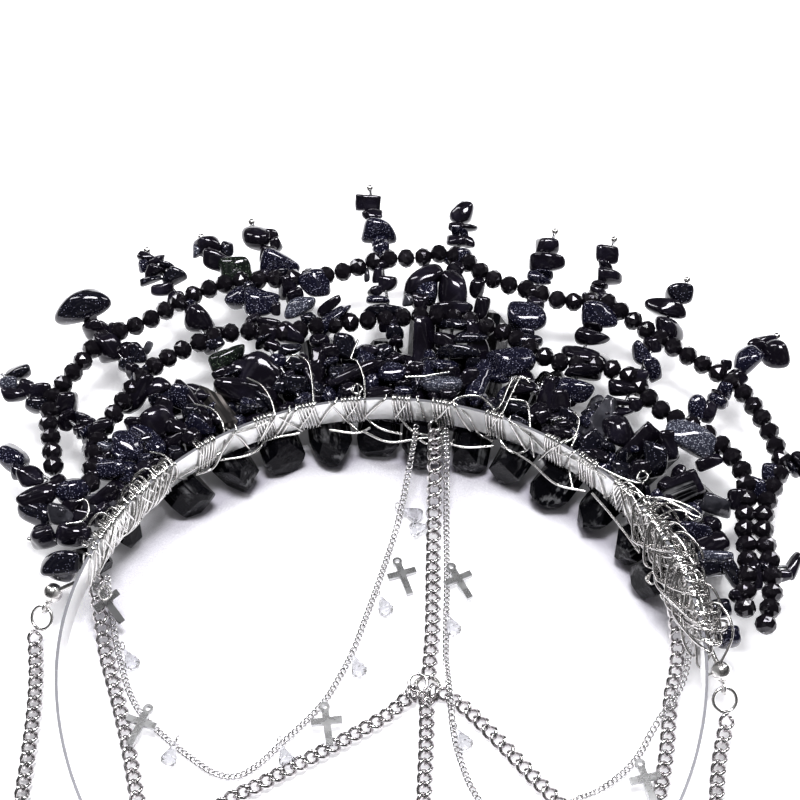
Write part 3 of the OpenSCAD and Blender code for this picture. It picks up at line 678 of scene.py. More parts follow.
# Stones that lie on the strings of beads
OVER_BEADS = [
    (97, 431, 20, 10, 46, "cB"), (88, 423, 9, 7), (84, 434, 8, 6, 0, "cD"), (106, 447, 9, 8, 0, "cS"),
    (128, 446, 16, 16, 0, "rN"), (98, 461, 10, 9), (110, 471, 17, 12, 10, "cN"), (92, 476, 8, 9),
    (691, 437, 27, 17, -38, "cS"), (268, 335, 10, 9), (420, 300, 9, 9),
]
# The stones of each spike
SPIKE_CHIPS = {
    1: [
        (43, 537, 14, 14, 10, "cB"), (74, 534, 18, 13, 0, "rB"), (58, 516, 10, 9, 0, "rK"), (46, 512, 7, 7),
        (61, 562, 20, 14, 0, "cD")],
    2: [
        (12, 459, 17, 14, -35, "cN"), (31, 476, 14, 12), (20, 472, 9, 9, 0, "cD"),
        (38, 498, 19, 13, 28, "dB"), (52, 489, 17, 11, 35, "dB"), (74, 491, 18, 14, 0, "cN"),
        (61, 514, 13, 12, 0, "cK"), (72, 507, 11, 9), (106, 501, 20, 13, 42, "cB")],
    3: [
        (18, 373, 14, 9, 15, "cD"), (9, 385, 9, 10, 0, "cS"), (14, 395, 13, 8), (26, 388, 9, 10),
        (40, 392, 12, 11), (36, 406, 12, 9, 0, "cD"), (66, 408, 13, 18, 8, "cB"), (52, 412, 10, 8),
        (83, 418, 9, 7, 0, "cD"), (80, 430, 7, 6), (92, 443, 14, 6, 38, "dB"), (104, 456, 8, 7),
        (147, 440, 8, 8, 0, "cD"), (108, 469, 15, 11, 0, "cN"), (90, 467, 6, 7, 0, "rB"),
        (127, 472, 9, 12, -20, "cN")],
    4: [
        (81, 308, 30, 17, 32, "rD"), (93, 329, 11, 10, 20, "cB"), (104, 328, 6, 8), (117, 331, 8, 9),
        (109, 347, 14, 17, 10, "cB"), (125, 352, 8, 12), (138, 353, 10, 12, 0, "cD"),
        (148, 348, 4, 8, -25, "cK"), (150, 370, 9, 9, 0, "cD"), (139, 395, 24, 10, 65, "cB"),
        (157, 386, 14, 10, 20, "cB"), (180, 397, 10, 14, 0, "cN"), (191, 413, 10, 11, 0, "cD"),
        (164, 408, 10, 13), (177, 427, 12, 9)],
    5: [
        (146, 258, 9, 6, -20, "cB"), (143, 266, 5, 8, 0, "cN"), (156, 260, 10, 5, 15, "cB"),
        (155, 271, 11, 8), (151, 280, 12, 5, 15, "wD"), (174, 276, 13, 10, 20, "cD"),
        (163, 290, 12, 7, 10, "cB"), (176, 299, 9, 9), (167, 266, 8, 5, -15, "cD"),
        (200, 318, 16, 15, 0, "rB"), (217, 331, 9, 6), (213, 345, 12, 8, 30, "cD"),
        (228, 357, 20, 10, 25, "cG"), (240, 391, 27, 13, -10, "rB"), (242, 366, 14, 7, 0, "rB"),
        (250, 409, 15, 6, 0, "dD"), (222, 373, 10, 6, 30, "cB")],
    6: [
        (207, 247, 14, 12, 20, "cB"), (197, 250, 5, 9, 0, "cS"), (217, 261, 14, 13),
        (227, 249, 7, 9, 0, "cD"), (236, 271, 16, 17, 15, "cG"), (247, 286, 13, 6, 0, "dD"),
        (249, 295, 13, 6, 0, "dD"), (237, 299, 12, 12, 30, "cN"), (262, 302, 18, 16, 0, "cN"),
        (276, 309, 5, 8), (270, 327, 13, 10), (290, 333, 15, 13), (290, 350, 12, 7, 0, "cD"),
        (296, 366, 10, 10, 0, "cD"), (296, 387, 12, 13, 0, "cD"), (272, 346, 9, 7), (258, 334, 7, 7)],
    7: [
        (257, 238, 16, 13, 0, "rB"), (272, 235, 7, 7), (276, 245, 6, 8, 30, "cB"), (268, 255, 9, 10),
        (281, 264, 20, 15, -15, "wN"), (264, 276, 7, 7), (288, 287, 10, 14), (314, 283, 17, 16, 0, "cN"),
        (300, 307, 17, 11, 10, "cS"), (329, 306, 15, 6, 38, "dB"), (330, 322, 27, 10, 42, "dN"),
        (345, 347, 12, 15, 0, "cD"), (328, 352, 12, 10), (340, 375, 12, 10, 0, "cD")],
    8: [
        (368, 203, 13, 9, -4, "bB"), (372, 214, 11, 6), (379, 231, 18, 15, 0, "cN"),
        (367, 275, 3, 8, 0, "cK"), (378, 275, 6, 9), (388, 284, 10, 9), (375, 291, 8, 6),
        (378, 300, 12, 5, 0, "dN"), (385, 312, 22, 8, 0, "dD"), (355, 374, 33, 10, 15, "rB"),
        (392, 373, 14, 12, 0, "cN"), (370, 352, 10, 8), (385, 352, 10, 9, 0, "cD"), (380, 394, 14, 9)],
    9: [
        (462, 213, 13, 12, 0, "rB"), (457, 227, 9, 5, 0, "dB"), (470, 228, 8, 4, 0, "dB"),
        (458, 241, 12, 7), (469, 242, 6, 7), (458, 257, 15, 10, 0, "cN"), (452, 291, 15, 23),
        (422, 281, 24, 12, 35, "rB"), (477, 288, 8, 12), (482, 308, 9, 13), (408, 300, 6, 7, 0, "cK"),
        (420, 305, 8, 9), (451, 310, 22, 9, 0, "dB"), (457, 325, 20, 7, 0, "dD"), (445, 340, 12, 8),
        (470, 337, 18, 7, 0, "dD"), (458, 352, 22, 8, 0, "dD"), (445, 365, 14, 6, 0, "dN"),
        (441, 386, 21, 11, 0, "cS"), (470, 378, 10, 12)],
    10: [
        (547, 247, 12, 10), (547, 263, 18, 11, 0, "dB"), (539, 279, 13, 8, -15, "wN"), (536, 292, 12, 8),
        (527, 318, 20, 18, 0, "cN"), (530, 342, 14, 9, 0, "cD"), (512, 362, 24, 16, 10, "cN"),
        (520, 388, 17, 10), (513, 407, 18, 12, 0, "cD")],
    11: [
        (607, 255, 12, 11), (610, 276, 13, 10), (598, 291, 9, 5, -15, "cB"), (588, 298, 7, 6),
        (606, 300, 9, 8), (599, 315, 18, 15, 0, "cN"), (592, 338, 18, 11, -15, "wB"),
        (588, 356, 27, 9, -20, "dB"), (583, 372, 19, 9, -5, "dB"), (574, 391, 19, 13, -15, "cN"),
        (560, 400, 10, 12)],
    12: [
        (679, 294, 14, 12, 0, "cD"), (665, 308, 21, 11, -8, "cB"), (670, 330, 15, 14), (652, 345, 9, 9),
        (641, 356, 15, 12, -45, "wN"), (653, 369, 8, 14, 20, "cN"), (623, 389, 16, 9, -10, "dB"),
        (620, 402, 16, 4, -5, "dB"), (617, 412, 18, 6, 0, "dB"), (618, 431, 16, 16, 0, "rB"),
        (603, 408, 9, 9, 0, "cD"), (636, 405, 8, 8)],
    13: [
        (775, 354, 14, 15, 0, "rB"), (765, 341, 12, 6, 10, "cB"), (757, 345, 9, 9, 35, "cB"),
        (747, 360, 18, 14, 30, "cN"), (726, 366, 6, 7), (735, 379, 14, 10, 35, "cB"),
        (697, 408, 10, 15, 10, "cN"), (709, 412, 7, 13, -20, "cB"), (668, 446, 9, 18, 10, "cB"),
        (709, 462, 14, 7, 20, "cB"), (655, 460, 12, 20, 0, "cD"), (640, 470, 12, 12)],
    14: [
        (717, 506, 17, 11, -20, "cK"), (740, 499, 13, 12), (757, 487, 10, 12, 0, "cN"),
        (775, 474, 14, 12, 0, "cN"), (694, 532, 18, 12, 0, "cN"), (713, 526, 9, 10),
        (672, 514, 13, 11, 0, "cD")],
    15: [
        (715, 556, 18, 7, -5, "cS"), (711, 569, 13, 11, 0, "cD"), (732, 573, 17, 8, -60, "cD"),
        (755, 574, 16, 8, -75, "cB"), (794, 566, 15, 8, 70, "cB"), (784, 576, 8, 7), (738, 596, 10, 8)],
}
SHAPES = {
    # Number of flat sides, how crisp their edges are, depth as a share of length and height, taper
    "r": (16, 4, 0.25, 0.75, 0.0), "c": (9, 6, 0.45, 0.45, 0.15), "w": (9, 6, 0.4, 0.4, 0.45),
    "d": (10, 5, 0.75, 0.0, 0.1), "b": (5, 26, 0.3, 0.5, 0.05),
}
STONE_FINISHES = {"N": NAVY_FLAKES, "D": DARK_FLAKES, "B": BLACK_STONE, "K": GREY_STONE,
                  "G": GREEN_FLAKES, "S": SILVER_FLAKES, "Q": CLEAR_QUARTZ}
# Finishes of the tied stones, from left to right
TIED_FINISHES = "DKBNBBNNNNBQBDND"
# Heights: middle of a block, middle of a stone on the beads, top of any stone. Then the least
# and the greatest depth
BLOCK_Z = 11.2
OVER_Z = 13.4
STONE_TOP = 17.05
LEAST_DEPTH, MOST_DEPTH = 1.0, 3.9
# Chips strewn over the crystals, in rows at these radii, and the share of them left out
STREWN_RADII = (72.5, 77.5, 82.5)
STREWN_FROM, STREWN_TO, STREWN_STEP = -50.0, 60, 3.1
STREWN_SIZES = ((1.8, 2.9), (1.3, 2.3), (1.1, 1.8))
LEFT_OUT = 0.22
# Rows of stones below them. Columns: radius, first bearing, last bearing
FILLER_ROWS = ((70.5, -44, 46), (76, -44, 40), (82, -40, 18), (87, -34, 12))
FILLER_SIZES = ((2.6, 3.6), (2.2, 3.0), (2.0, 2.8))


def photo_stone(px, py, half_length, half_height, turn=0, look="cB", *, seed, height):
    """A stone that fills the room it has in the photograph, under the height of the solids, and
    the letter of its finish."""
    flats, crispness, by_length, by_height, taper = SHAPES[look[0]]
    pixel = (on_photo(px, py, height) - EYE).dot(PHOTO_AHEAD) / FOCAL
    length, rise = half_length * pixel, half_height * pixel
    depth = min(MOST_DEPTH, max(LEAST_DEPTH, by_length * length + by_height * rise))
    stone = worn_stone(flats, crispness, seed)
    stone[:, 1] *= 1 - taper * (stone[:, 0] + 1) / 2
    angle = math.radians(turn)
    along = PHOTO_RIGHT * math.cos(angle) + PHOTO_UP * math.sin(angle)
    across = PHOTO_UP * math.cos(angle) - PHOTO_RIGHT * math.sin(angle)
    solid = stone @ np.array([along * length, across * rise, PHOTO_AHEAD * depth])
    place = on_photo(px, py, min(height, STONE_TOP - solid[:, 2].max()))
    return solid + np.array(place), look[1]


class StonePile:
    """Stones that go into one piece, each with its own finish."""

    def __init__(self):
        self.vertices, self.faces, self.finish, self.materials, self.solids = [], [], [], [], []

    def add(self, points, letter):
        """Adds a stone, given as the corners of a ball pressed into its shape."""
        material = STONE_FINISHES[letter]
        if material not in self.materials:
            self.materials.append(material)
        first = len(self.vertices)
        faces = BALL_FACES if len(points) == len(BALL_POINTS) else CHIP_FACES
        self.solids.append(points)
        self.vertices += points.tolist()
        self.faces += [tuple(first + k for k in face) for face in faces]
        self.finish += [self.materials.index(material)] * len(faces)

    def add_seen(self, rows, seed, height):
        """Adds stones that the photograph shows."""
        for k, row in enumerate(rows):
            self.add(*photo_stone(*row, seed=seed + k, height=height))

    def close(self, name, *nodes):
        """Makes the piece of all the stones."""
        piece = new_piece(name, self.vertices, self.faces, self.materials)
        piece.data.polygons.foreach_set("material_index", self.finish)
        install(piece, "stone", *nodes)


# A stone sits on a pin if it comes nearer to it than the first of these, and covers the stretch
# where it is nearer than the second. The lashing covers a pin this far from its foot, and a
# bare stretch shorter than the gap is left bare
HIDES_PIN, NEAR_PIN = 1.0, 1.4
LASHED_LENGTH = 2.0
LEAST_GAP = 0.8


def pin_line(row):
    """The foot of a headpin and the direction to its tip."""
    foot = at(row[0], FOOT_R, SPIKE_Z)
    return foot, (at(row[1], row[2], SPIKE_Z) - foot).normalized()


def bare_stretches(foot, direction, solids):
    """The stretches of a headpin, from its foot to its last stone, that no stone covers."""
    taken = []
    for solid in solids:
        offset = solid - np.array(foot)
        along = offset @ np.array(direction)
        aside = np.linalg.norm(offset - np.outer(along, np.array(direction)), axis=1)
        if aside.min() < HIDES_PIN:
            near = along[aside < NEAR_PIN]
            taken.append((near.min(), near.max()))
    gaps, reached = [], LASHED_LENGTH
    for low, high in sorted(taken):
        if low - reached > LEAST_GAP:
            gaps.append((reached, low))
        reached = max(reached, high)
    return gaps


def threaded_chip(foot, direction, low, high, rng):
    """A chip that fills one bare stretch of a headpin."""
    stone = worn_stone(rng.choice([9, 12]), rng.choice([5, 7]), rng.randrange(9999))
    side = direction.cross(UP)
    lean = UP + direction * rng.uniform(-0.3, 0.3)
    length = direction * (high - low) / 2 * 1.05
    axes = np.array([length, side * rng.uniform(1.7, 2.7), lean * rng.uniform(1.5, 2.4)])
    return stone @ axes + np.array(foot + direction * (low + high) / 2 + side * rng.uniform(-0.6, 0.6))


def spike_stones(number, row):
    """The stones of a spike: those in the photograph as it shows them, the rest as their solids."""
    pile = StonePile()
    pile.add_seen(SPIKE_CHIPS[number], number * 40, SPIKE_Z)
    foot, direction = pin_line(row)
    for k, points in enumerate(loose_parts(f"spike_{number}")):
        if not in_photo(block_middle(points)):
            stone = filled_out(tumbled(points, 9, number * 31 + k), points, direction)
            pile.add(stone, "D" if k % 2 else "B")
    rng = random.Random(number * 17)
    for low, high in bare_stretches(foot, direction, pile.solids):
        count = max(1, round((high - low) / rng.uniform(2.2, 3.2)))
        step = (high - low) / count
        for k in range(count):
            chip = threaded_chip(foot, direction, low + k * step, low + (k + 1) * step, rng)
            pile.add(chip, rng.choice("NDBB"))
    pile.close(f"spike_{number}_stones", f"spike_{number}")


def tied_stones():
    """The larger stones tied on top of the crystals."""
    pile = StonePile()
    parts = sorted(loose_parts("accent_stones"), key=lambda points: block_middle(points).x)
    for k, points in enumerate(parts):
        pile.add(tumbled(points, 8, 500 + k), TIED_FINISHES[k])
    pile.close("tied_stones", "accent_stones")


def loose_chip(place, crispness, sizes, rng):
    """A small stone turned at random, with each of its three sizes from a range."""
    stone = worn_stone(rng.choice([7, 9, 14]), rng.choice(crispness), rng.randrange(9999), CHIP_POINTS)
    turn = Quaternion([rng.gauss(0, 1) for _ in range(4)]).normalized().to_matrix()
    size = np.array([rng.uniform(*ends) for ends in sizes])
    return (stone * size) @ np.array(turn).T + np.array(place)


def small_stones():
    """Broken blocks and small chips that lie on the crystals between the spikes."""
    pile = StonePile()
    pile.add_seen(BLOCKS, 900, BLOCK_Z)
    pile.add_seen(OVER_BEADS, 950, OVER_Z)
    rng = random.Random(23)
    bearing = STREWN_FROM
    while bearing < STREWN_TO:
        for radius in STREWN_RADII:
            place = at(bearing + rng.uniform(-2, 2), radius + rng.uniform(-2.5, 2.5), rng.uniform(11, 12.6))
            if rng.random() < LEFT_OUT:
                continue
            solid = loose_chip(place, [6, 9, 12], STREWN_SIZES, rng)
            solid[:, 2] += min(0, STONE_TOP - solid[:, 2].max())
            pile.add(solid, rng.choice("NDBBD"))
        bearing += STREWN_STEP
    for radius, bearing, last in FILLER_ROWS:
        while bearing < last:
            place = at(bearing, radius + rng.uniform(-1.5, 1.5), rng.uniform(6.5, 9))
            pile.add(loose_chip(place, [6, 9], FILLER_SIZES, rng), "B")
            bearing += rng.uniform(3.6, 4.6)
    pile.close("small_stones")


for number, row in enumerate(SPIKES, 1):
    spike_stones(number, row)
tied_stones()
small_stones()


# Crystals
PALE_CRYSTALS = {15: SMOKY_CRYSTAL, 16: DRUZY_CRYSTAL}
# Breaks at the ends of a crystal, -1 for one at its inner end, and how deep they go
BREAKS = [-1] * 5 + [1] * 3
CHIP_DEPTH = (0.2, 2.1)
EDGE_WEAR = 0.16 * MM
LONGEST_EDGE = 1.6 * MM


def crystal_piece(number):
    """A crystal with broken ends, worn edges and its own coordinate along its length."""
    node = f"crystal_{number}"
    bm = joined(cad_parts[node].data)
    bmesh.ops.dissolve_limit(bm, angle_limit=math.radians(1), verts=bm.verts, edges=bm.edges)
    points = [v.co.copy() for v in bm.verts]
    centre = sum(points, Vector()) / len(points)
    _, axes = np.linalg.eigh(np.cov(np.array([p - centre for p in points]).T))
    axis = Vector((*axes[:2, 2], 0)).normalized()
    if axis.dot(centre - Vector((0, -BAND_R * MM, 0))) < 0:
        axis = -axis
    rng = random.Random(number * 3)
    for end in BREAKS:
        tilt = Vector((rng.uniform(-1, 1), rng.uniform(-1, 1), rng.uniform(-0.4, 1)))
        normal = (axis * end * 0.7 + tilt).normalized()
        far = max(normal.dot(v.co) for v in bm.verts)
        point = normal * (far - rng.uniform(*CHIP_DEPTH) * MM)
        cut = bmesh.ops.bisect_plane(bm, geom=bm.verts[:] + bm.edges[:] + bm.faces[:],
                                     plane_co=point, plane_no=normal, clear_outer=True)
        rim = [e for e in cut["geom_cut"] if isinstance(e, bmesh.types.BMEdge)]
        if rim:
            bmesh.ops.contextual_create(bm, geom=rim)
    bmesh.ops.recalc_face_normals(bm, faces=bm.faces)
    bmesh.ops.bevel(bm, geom=bm.edges[:], offset=EDGE_WEAR, segments=2, profile=0.6, affect="EDGES",
                    clamp_overlap=True)
    bmesh.ops.triangulate(bm, faces=bm.faces)
    for _ in range(3):
        long_edges = [e for e in bm.edges if e.calc_length() > LONGEST_EDGE]
        if not long_edges:
            break
        bmesh.ops.subdivide_edges(bm, edges=long_edges, cuts=1, use_grid_fill=True)
        bmesh.ops.triangulate(bm, faces=bm.faces)
    mesh = bpy.data.meshes.new(f"{node}_raw")
    bm.to_mesh(mesh)
    bm.free()
    side = axis.cross(UP).normalized()
    offsets = [v.co - centre for v in mesh.vertices]
    values = [c for p in offsets for c in (p.dot(side), p.dot(axis), p.z)]
    mesh.attributes.new("along", "FLOAT_VECTOR", "POINT").data.foreach_set("vector", values)
    mesh.materials.append(PALE_CRYSTALS.get(number, BLACK_CRYSTAL))
    mesh.shade_flat()
    install(show(f"{node}_raw", mesh), "smoky_crystal" if number in PALE_CRYSTALS else "crystal", node)


for number in range(1, 19):
    crystal_piece(number)


# Beads
def bead_piece(name, node):
    """The cut beads of one string, nearly touching each other along the way of its solids."""
    left = [block_middle(points) for points in loose_parts(node)]
    ends = sorted(left, key=lambda p: p.y)[:6]
    string = [min(ends, key=lambda p: p.x)]
    left.remove(string[0])
    while left:
        following = min(left, key=lambda p: (p - string[-1]).length)
        left.remove(following)
        string.append(following)
    path = rounded_route(string, 0.25)
    spots, axes, gone = [tuple(path[0] * MM)], list((path[1] - path[0]).normalized()), 0.0
    for a, b in zip(path, path[1:]):
        gone += (b - a).length
        if gone >= BEAD_PITCH:
            gone -= BEAD_PITCH
            spots.append(tuple(b * MM))
            axes += list((b - a).normalized())
    mesh = bpy.data.meshes.new("bead_spots")
    mesh.from_pydata(spots, [], [])
    mesh.attributes.new("axis", "FLOAT_VECTOR", "POINT").data.foreach_set("vector", axes)
    piece = grown(name, mesh, CUT_BEADS, {"Width": 0.0049, "Length": 0.0044, "Material": BEAD_GLASS})
    install(piece, "bead", node)


bead_piece("outer_cut_beads", "outer_beads")
bead_piece("inner_cut_beads", "inner_beads")


# Chains
def link_chains(routes, low, values):
    """The links of each chain along its route."""
    for node, route in routes.items():
        spots = [spot if len(spot) == 3 else (*spot, low) for spot in route]
        piece = grown(f"{node}_links", path_mesh([rounded_route(spots, 0.8)]), LINK_CHAIN, values)
        install(piece, "chain", node)


link_chains(HEAVY_CHAINS, HEAVY_LOW, {
    "Pitch": 0.00265, "Link Length": 0.0045, "Link Width": 0.0038, "Wire": 0.00098, "Twist": 1.1,
    "Sides": 8, "Material": CHAIN_METAL})
link_chains(FINE_CHAINS, FINE_LOW, {
    "Pitch": 0.0012, "Link Length": 0.0020, "Link Width": 0.0016, "Wire": 0.0004, "Twist": 0.9,
    "Sides": 5, "Material": FINE_METAL})


# Lashing and binding wire
WIRE_GAP = BAND_T / 2 + 0.12 + WIRE_D / 2
WIRE_LOW, WIRE_TOP = 9.3, 16.78
FACE_R = BAND_R - WIRE_GAP
RIGHT_WIRE_D = 0.64
# The way of one turn round the strip: share of the slack on the inner and on the outer side,
# side of the strip (-1 inner), height, and share of the turn's lean
TURN = [
    (0.3, 0, -1, 9.4, -1.0), (1, 0, -1, 11.4, -0.5), (0.5, 0, -1, 14.6, 0.5), (0, 0, -0.2, WIRE_TOP, 1.0),
    (0, 0.7, 1, 16.5, 1.0), (0, 1, 1, 14.6, 0.1), (0, 0.4, 1, 10.2, -0.8), (0, 0, 0, 8.9, -1.0),
]
# Windings. Columns: bearing at which one starts, its length, turns, lean, spread of the lean,
# slack on the inner and on the outer side. At each headpin the bearing is counted from its foot
# and the lean is a share
FOOT_WINDINGS = [(-2.0, 4.6, 6, 1, 0.12, 0.15, 0.5), (-1.2, 2.6, 1, -2.2, 0.5, 0.6, 2.0)]
LEFT_TANGLE = [(-71.5, 31, 18, 1.3, 0.4, 0.4, 1.5), (-68, 27, 9, -2.0, 0.9, 1.0, 3.0),
               (-66, 22, 6, 3.2, 1.0, 1.4, 4.0), (-57, 13, 8, 2.2, 0.7, 1.8, 3.5)]
RIGHT_TANGLE = [(54, 40, 18, -1.8, 0.6, 0.8, 2.5), (56, 38, 13, 2.8, 1.6, 2.2, 4.5),
                (59, 34, 11, -4.0, 2.2, 3.4, 6.0), (64, 27, 10, 4.5, 2.6, 3.0, 7.0),
                (58, 30, 8, -7.0, 3.0, 4.5, 3.0), (63, 27, 7, 8.0, 3.0, 4.5, 4.5)]
# Slanting strands: heights of both ends, each where it comes round the edge and on the face, and
# how far outside the strip's middle line they lie
STRAND_ENDS = ((9.0, 9.3), (WIRE_TOP, WIRE_TOP - 0.2))
STRAND_BACK, STRAND_FACE = 0.8, -0.65
# Loops of binding wire as the photograph shows them, in its pixels
WIRE_LOOPS = [
    [(314, 402), (311, 372), (306, 360), (293, 355), (286, 362)],
    [(365, 399), (364, 378), (357, 361), (351, 358), (358, 340)],
    [(352, 392), (356, 384), (362, 388), (358, 394), (351, 390), (356, 384)],
    [(405, 377), (425, 376), (449, 372)], [(449, 410), (457, 398), (478, 396), (493, 408), (494, 420)],
    [(362, 431), (390, 442), (430, 438), (462, 447), (493, 446)],
    [(365, 402), (367, 418), (382, 429), (402, 434)], [(398, 416), (413, 431), (434, 437)],
    [(453, 402), (468, 416), (478, 433), (493, 442)], [(329, 402), (344, 418), (358, 431)],
    [(272, 412), (285, 421), (302, 431)], [(247, 378), (262, 386), (272, 402), (274, 418), (262, 439)],
    [(502, 414), (512, 393), (520, 379), (530, 379)],
    [(436, 430), (441, 426), (446, 430), (441, 434), (436, 430), (442, 427)],
    [(489, 413), (500, 406), (508, 388), (514, 379), (524, 377), (530, 383)],
    [(534, 457), (531, 436), (529, 412), (526, 402), (509, 399)],
    [(573, 490), (569, 467), (572, 446), (577, 434), (573, 428)],
    [(539, 460), (554, 447), (573, 438), (579, 420), (574, 412)],
    [(493, 416), (497, 435), (511, 452), (527, 450), (531, 436)],
    [(502, 446), (530, 462), (556, 484), (585, 491)], [(592, 493), (612, 516), (626, 534), (640, 553)],
    [(598, 466), (620, 477), (640, 483), (648, 476), (642, 471), (637, 478), (644, 484)],
    [(194, 404), (212, 409), (222, 422), (224, 444), (214, 467), (196, 475)],
    [(150, 452), (163, 455), (175, 464), (176, 478), (160, 492)],
    [(66, 524), (82, 521), (89, 510), (86, 500), (78, 501)],
    [(115, 541), (133, 529), (146, 512), (153, 494)],
    [(220, 460), (242, 457), (258, 450), (268, 440), (300, 433)], [(178, 478), (206, 462), (222, 452)],
    [(226, 428), (240, 438), (250, 450)], [(232, 434), (254, 428), (268, 422)],
    [(330, 430), (356, 433), (370, 428)], [(508, 420), (530, 436), (552, 458)],
    [(556, 452), (580, 462), (606, 478)], [(610, 474), (628, 490), (640, 512)],
    [(420, 440), (428, 444), (437, 440), (446, 446), (454, 440)],
    [(645, 498), (662, 498), (684, 504), (700, 514), (694, 520), (686, 514), (694, 508)],
    [(636, 550), (633, 532), (644, 510), (662, 499), (686, 510)],
    [(640, 553), (638, 534), (650, 513), (668, 503), (690, 513)],
    [(650, 556), (645, 536), (655, 519), (676, 510), (700, 518)],
    [(652, 572), (646, 578), (652, 584), (658, 578), (652, 572), (648, 580)],
    [(668, 588), (661, 595), (668, 602), (675, 595), (668, 588), (663, 597)],
    [(105, 585), (99, 592), (104, 600), (111, 594), (106, 586)],
]
# Small jump rings in the knot where the chains meet: place in the photograph, height,
# radius and how far each is turned about its own upright line and tipped
KNOT_RINGS = [(418, 683, 1.7, 2.0, 20, 15), (434, 693, 1.9, 1.8, 70, 60), (426, 702, 2.0, 1.7, 130, 75),
              (412, 694, 2.1, 1.8, 100, 65)]


def strip_point(bearing, out, z):
    """A point by the strip: how far outside its middle line, and its height."""
    return at(bearing, BAND_R + out, z)


def under_top(points):
    """The same route, kept just over the strip's upper edge."""
    return [Vector((p.x, p.y, min(p.z, WIRE_TOP))) for p in points]


def winding(rng, bearing, length, turns, lean, spread, slack_inside, slack_outside):
    """Wire wound round the strip from one bearing onwards, all its turns leaning much the same way."""
    corners = []
    for n in range(turns):
        tilt = lean + rng.uniform(-spread, spread)
        inside, outside = rng.uniform(0, slack_inside), rng.uniform(0, slack_outside)
        for k, (take_in, take_out, side, z, share) in enumerate(TURN):
            shift = length * (n + k / len(TURN)) / turns + tilt * share
            out = side * WIRE_GAP - take_in * inside + take_out * outside
            corners.append(strip_point(bearing + math.degrees(shift / BAND_R), out, z))
    return under_top(rounded_route(corners, 0.55))


def foot_lashings():
    """The turns that hold each headpin and the crystal below it, leaning this way and that."""
    rng = random.Random(11)
    paths = []
    for foot, *_ in SPIKES:
        lean = rng.choice([-1, 1]) * rng.uniform(0.3, 0.9)
        for start, length, turns, share, *slack in FOOT_WINDINGS:
            paths.append(winding(rng, foot + start, length, turns, lean * share, *slack))
    return paths


def wire_place(px, py):
    """Where the binding wire lies that the photograph shows at a pixel: on the strip's inner
    face, in front of the crystals just below it, or on the stones above it."""
    ray = on_photo(px, py, 0) - EYE
    flat_eye, flat_ray = Vector((EYE.x, EYE.y + BAND_R)), Vector((ray.x, ray.y))
    a, b, c = flat_ray.dot(flat_ray), 2 * flat_ray.dot(flat_eye), flat_eye.dot(flat_eye) - FACE_R ** 2
    room = b * b - 4 * a * c
    if room > 0:
        hit = EYE + ray * ((-b + math.sqrt(room)) / (2 * a))
        if WIRE_LOW < hit.z < WIRE_TOP:
            return hit
        if hit.z <= WIRE_LOW:
            return on_photo(px, py, WIRE_LOW)
    return on_photo(px, py, WIRE_TOP)


def diagonal_strands():
    """Strands that slant across the strip from one lashing to the next."""
    rng = random.Random(31)
    paths = []
    for row, following in zip(SPIKES, SPIKES[1:]):
        for _ in range(rng.choice([1, 1, 2])):
            a, b = row[0] + rng.uniform(1, 3), following[0] - rng.uniform(1, 3)
            start, stop = STRAND_ENDS if rng.random() < 0.5 else STRAND_ENDS[::-1]
            end = a + (b - a) * rng.uniform(0.45, 1)
            paths.append(under_top(rounded_route([
                strip_point(a - 0.5, STRAND_BACK, start[0]), strip_point(a, STRAND_FACE, start[1]),
                strip_point((a + end) / 2, STRAND_FACE - 0.1, (start[0] + stop[0]) / 2 + rng.uniform(-1, 1)),
                strip_point(end, STRAND_FACE, stop[1]), strip_point(end + 0.5, STRAND_BACK, stop[0])], 0.5)))
    return paths


def binding_wire():
    """Loose loops and slanting strands all along the strip, and the tangles at its ends."""
    rng = random.Random(3)
    bright = [under_top(rounded_route([wire_place(*spot) for spot in loop], 0.5)) for loop in WIRE_LOOPS]
    bright += diagonal_strands()
    bright += [winding(rng, *row) for row in LEFT_TANGLE]
    warm = [winding(rng, *row) for row in RIGHT_TANGLE]
    wire_piece("binding_wire", bright, WIRE_D, 6, WIRE_METAL, "wire")
    wire_piece("right_binding_wire", warm, RIGHT_WIRE_D, 6, WARM_WIRE, "wire")


def ring_path(middle, radius, along, across, count):
    """A ring round its middle, as a closed path."""
    return [middle + radius * (along * math.cos(t) + across * math.sin(t))
            for t in [math.tau * k / count for k in range(count + 1)]]


def knot_rings():
    """The jump rings of the knot."""
    paths = []
    for px, py, z, radius, turned, tipped in KNOT_RINGS:
        turned, tipped = math.radians(turned), math.radians(tipped)
        along = Vector((math.cos(turned), math.sin(turned), 0))
        across = Vector((-along.y, along.x, 0)) * math.cos(tipped) + Vector((0, 0, math.sin(tipped)))
        paths.append(ring_path(on_photo(px, py, z), radius, along, across, 24))
    wire_piece("knot_rings", paths, 0.8, 8, CHAIN_METAL, "wire")


def pin_balls():
    """The little ball or blunt end on each headpin."""
    vertices, faces = [], []
    for _, bearing, radius, shows in SPIKES:
        first = len(vertices)
        vertices += (CHIP_POINTS * (1.0 if shows else 0.56) + np.array(at(bearing, radius, SPIKE_Z))).tolist()
        faces += [tuple(first + k for k in face) for face in CHIP_FACES]
    install(new_piece("headpin_balls", vertices, faces, [WIRE_METAL]), "wire", "headpins")


wire_piece("headpin_lashings", foot_lashings(), WIRE_D, 6, WIRE_METAL, "wire", "headpins")
binding_wire()
knot_rings()
PINS = [[at(foot, FOOT_R - 0.85, SPIKE_Z), at(tip, radius, SPIKE_Z)] for foot, tip, radius, _ in SPIKES]
wire_piece("headpin_wires", PINS, PIN_D, 12, PIN_METAL, "wire", "headpins")
pin_balls()


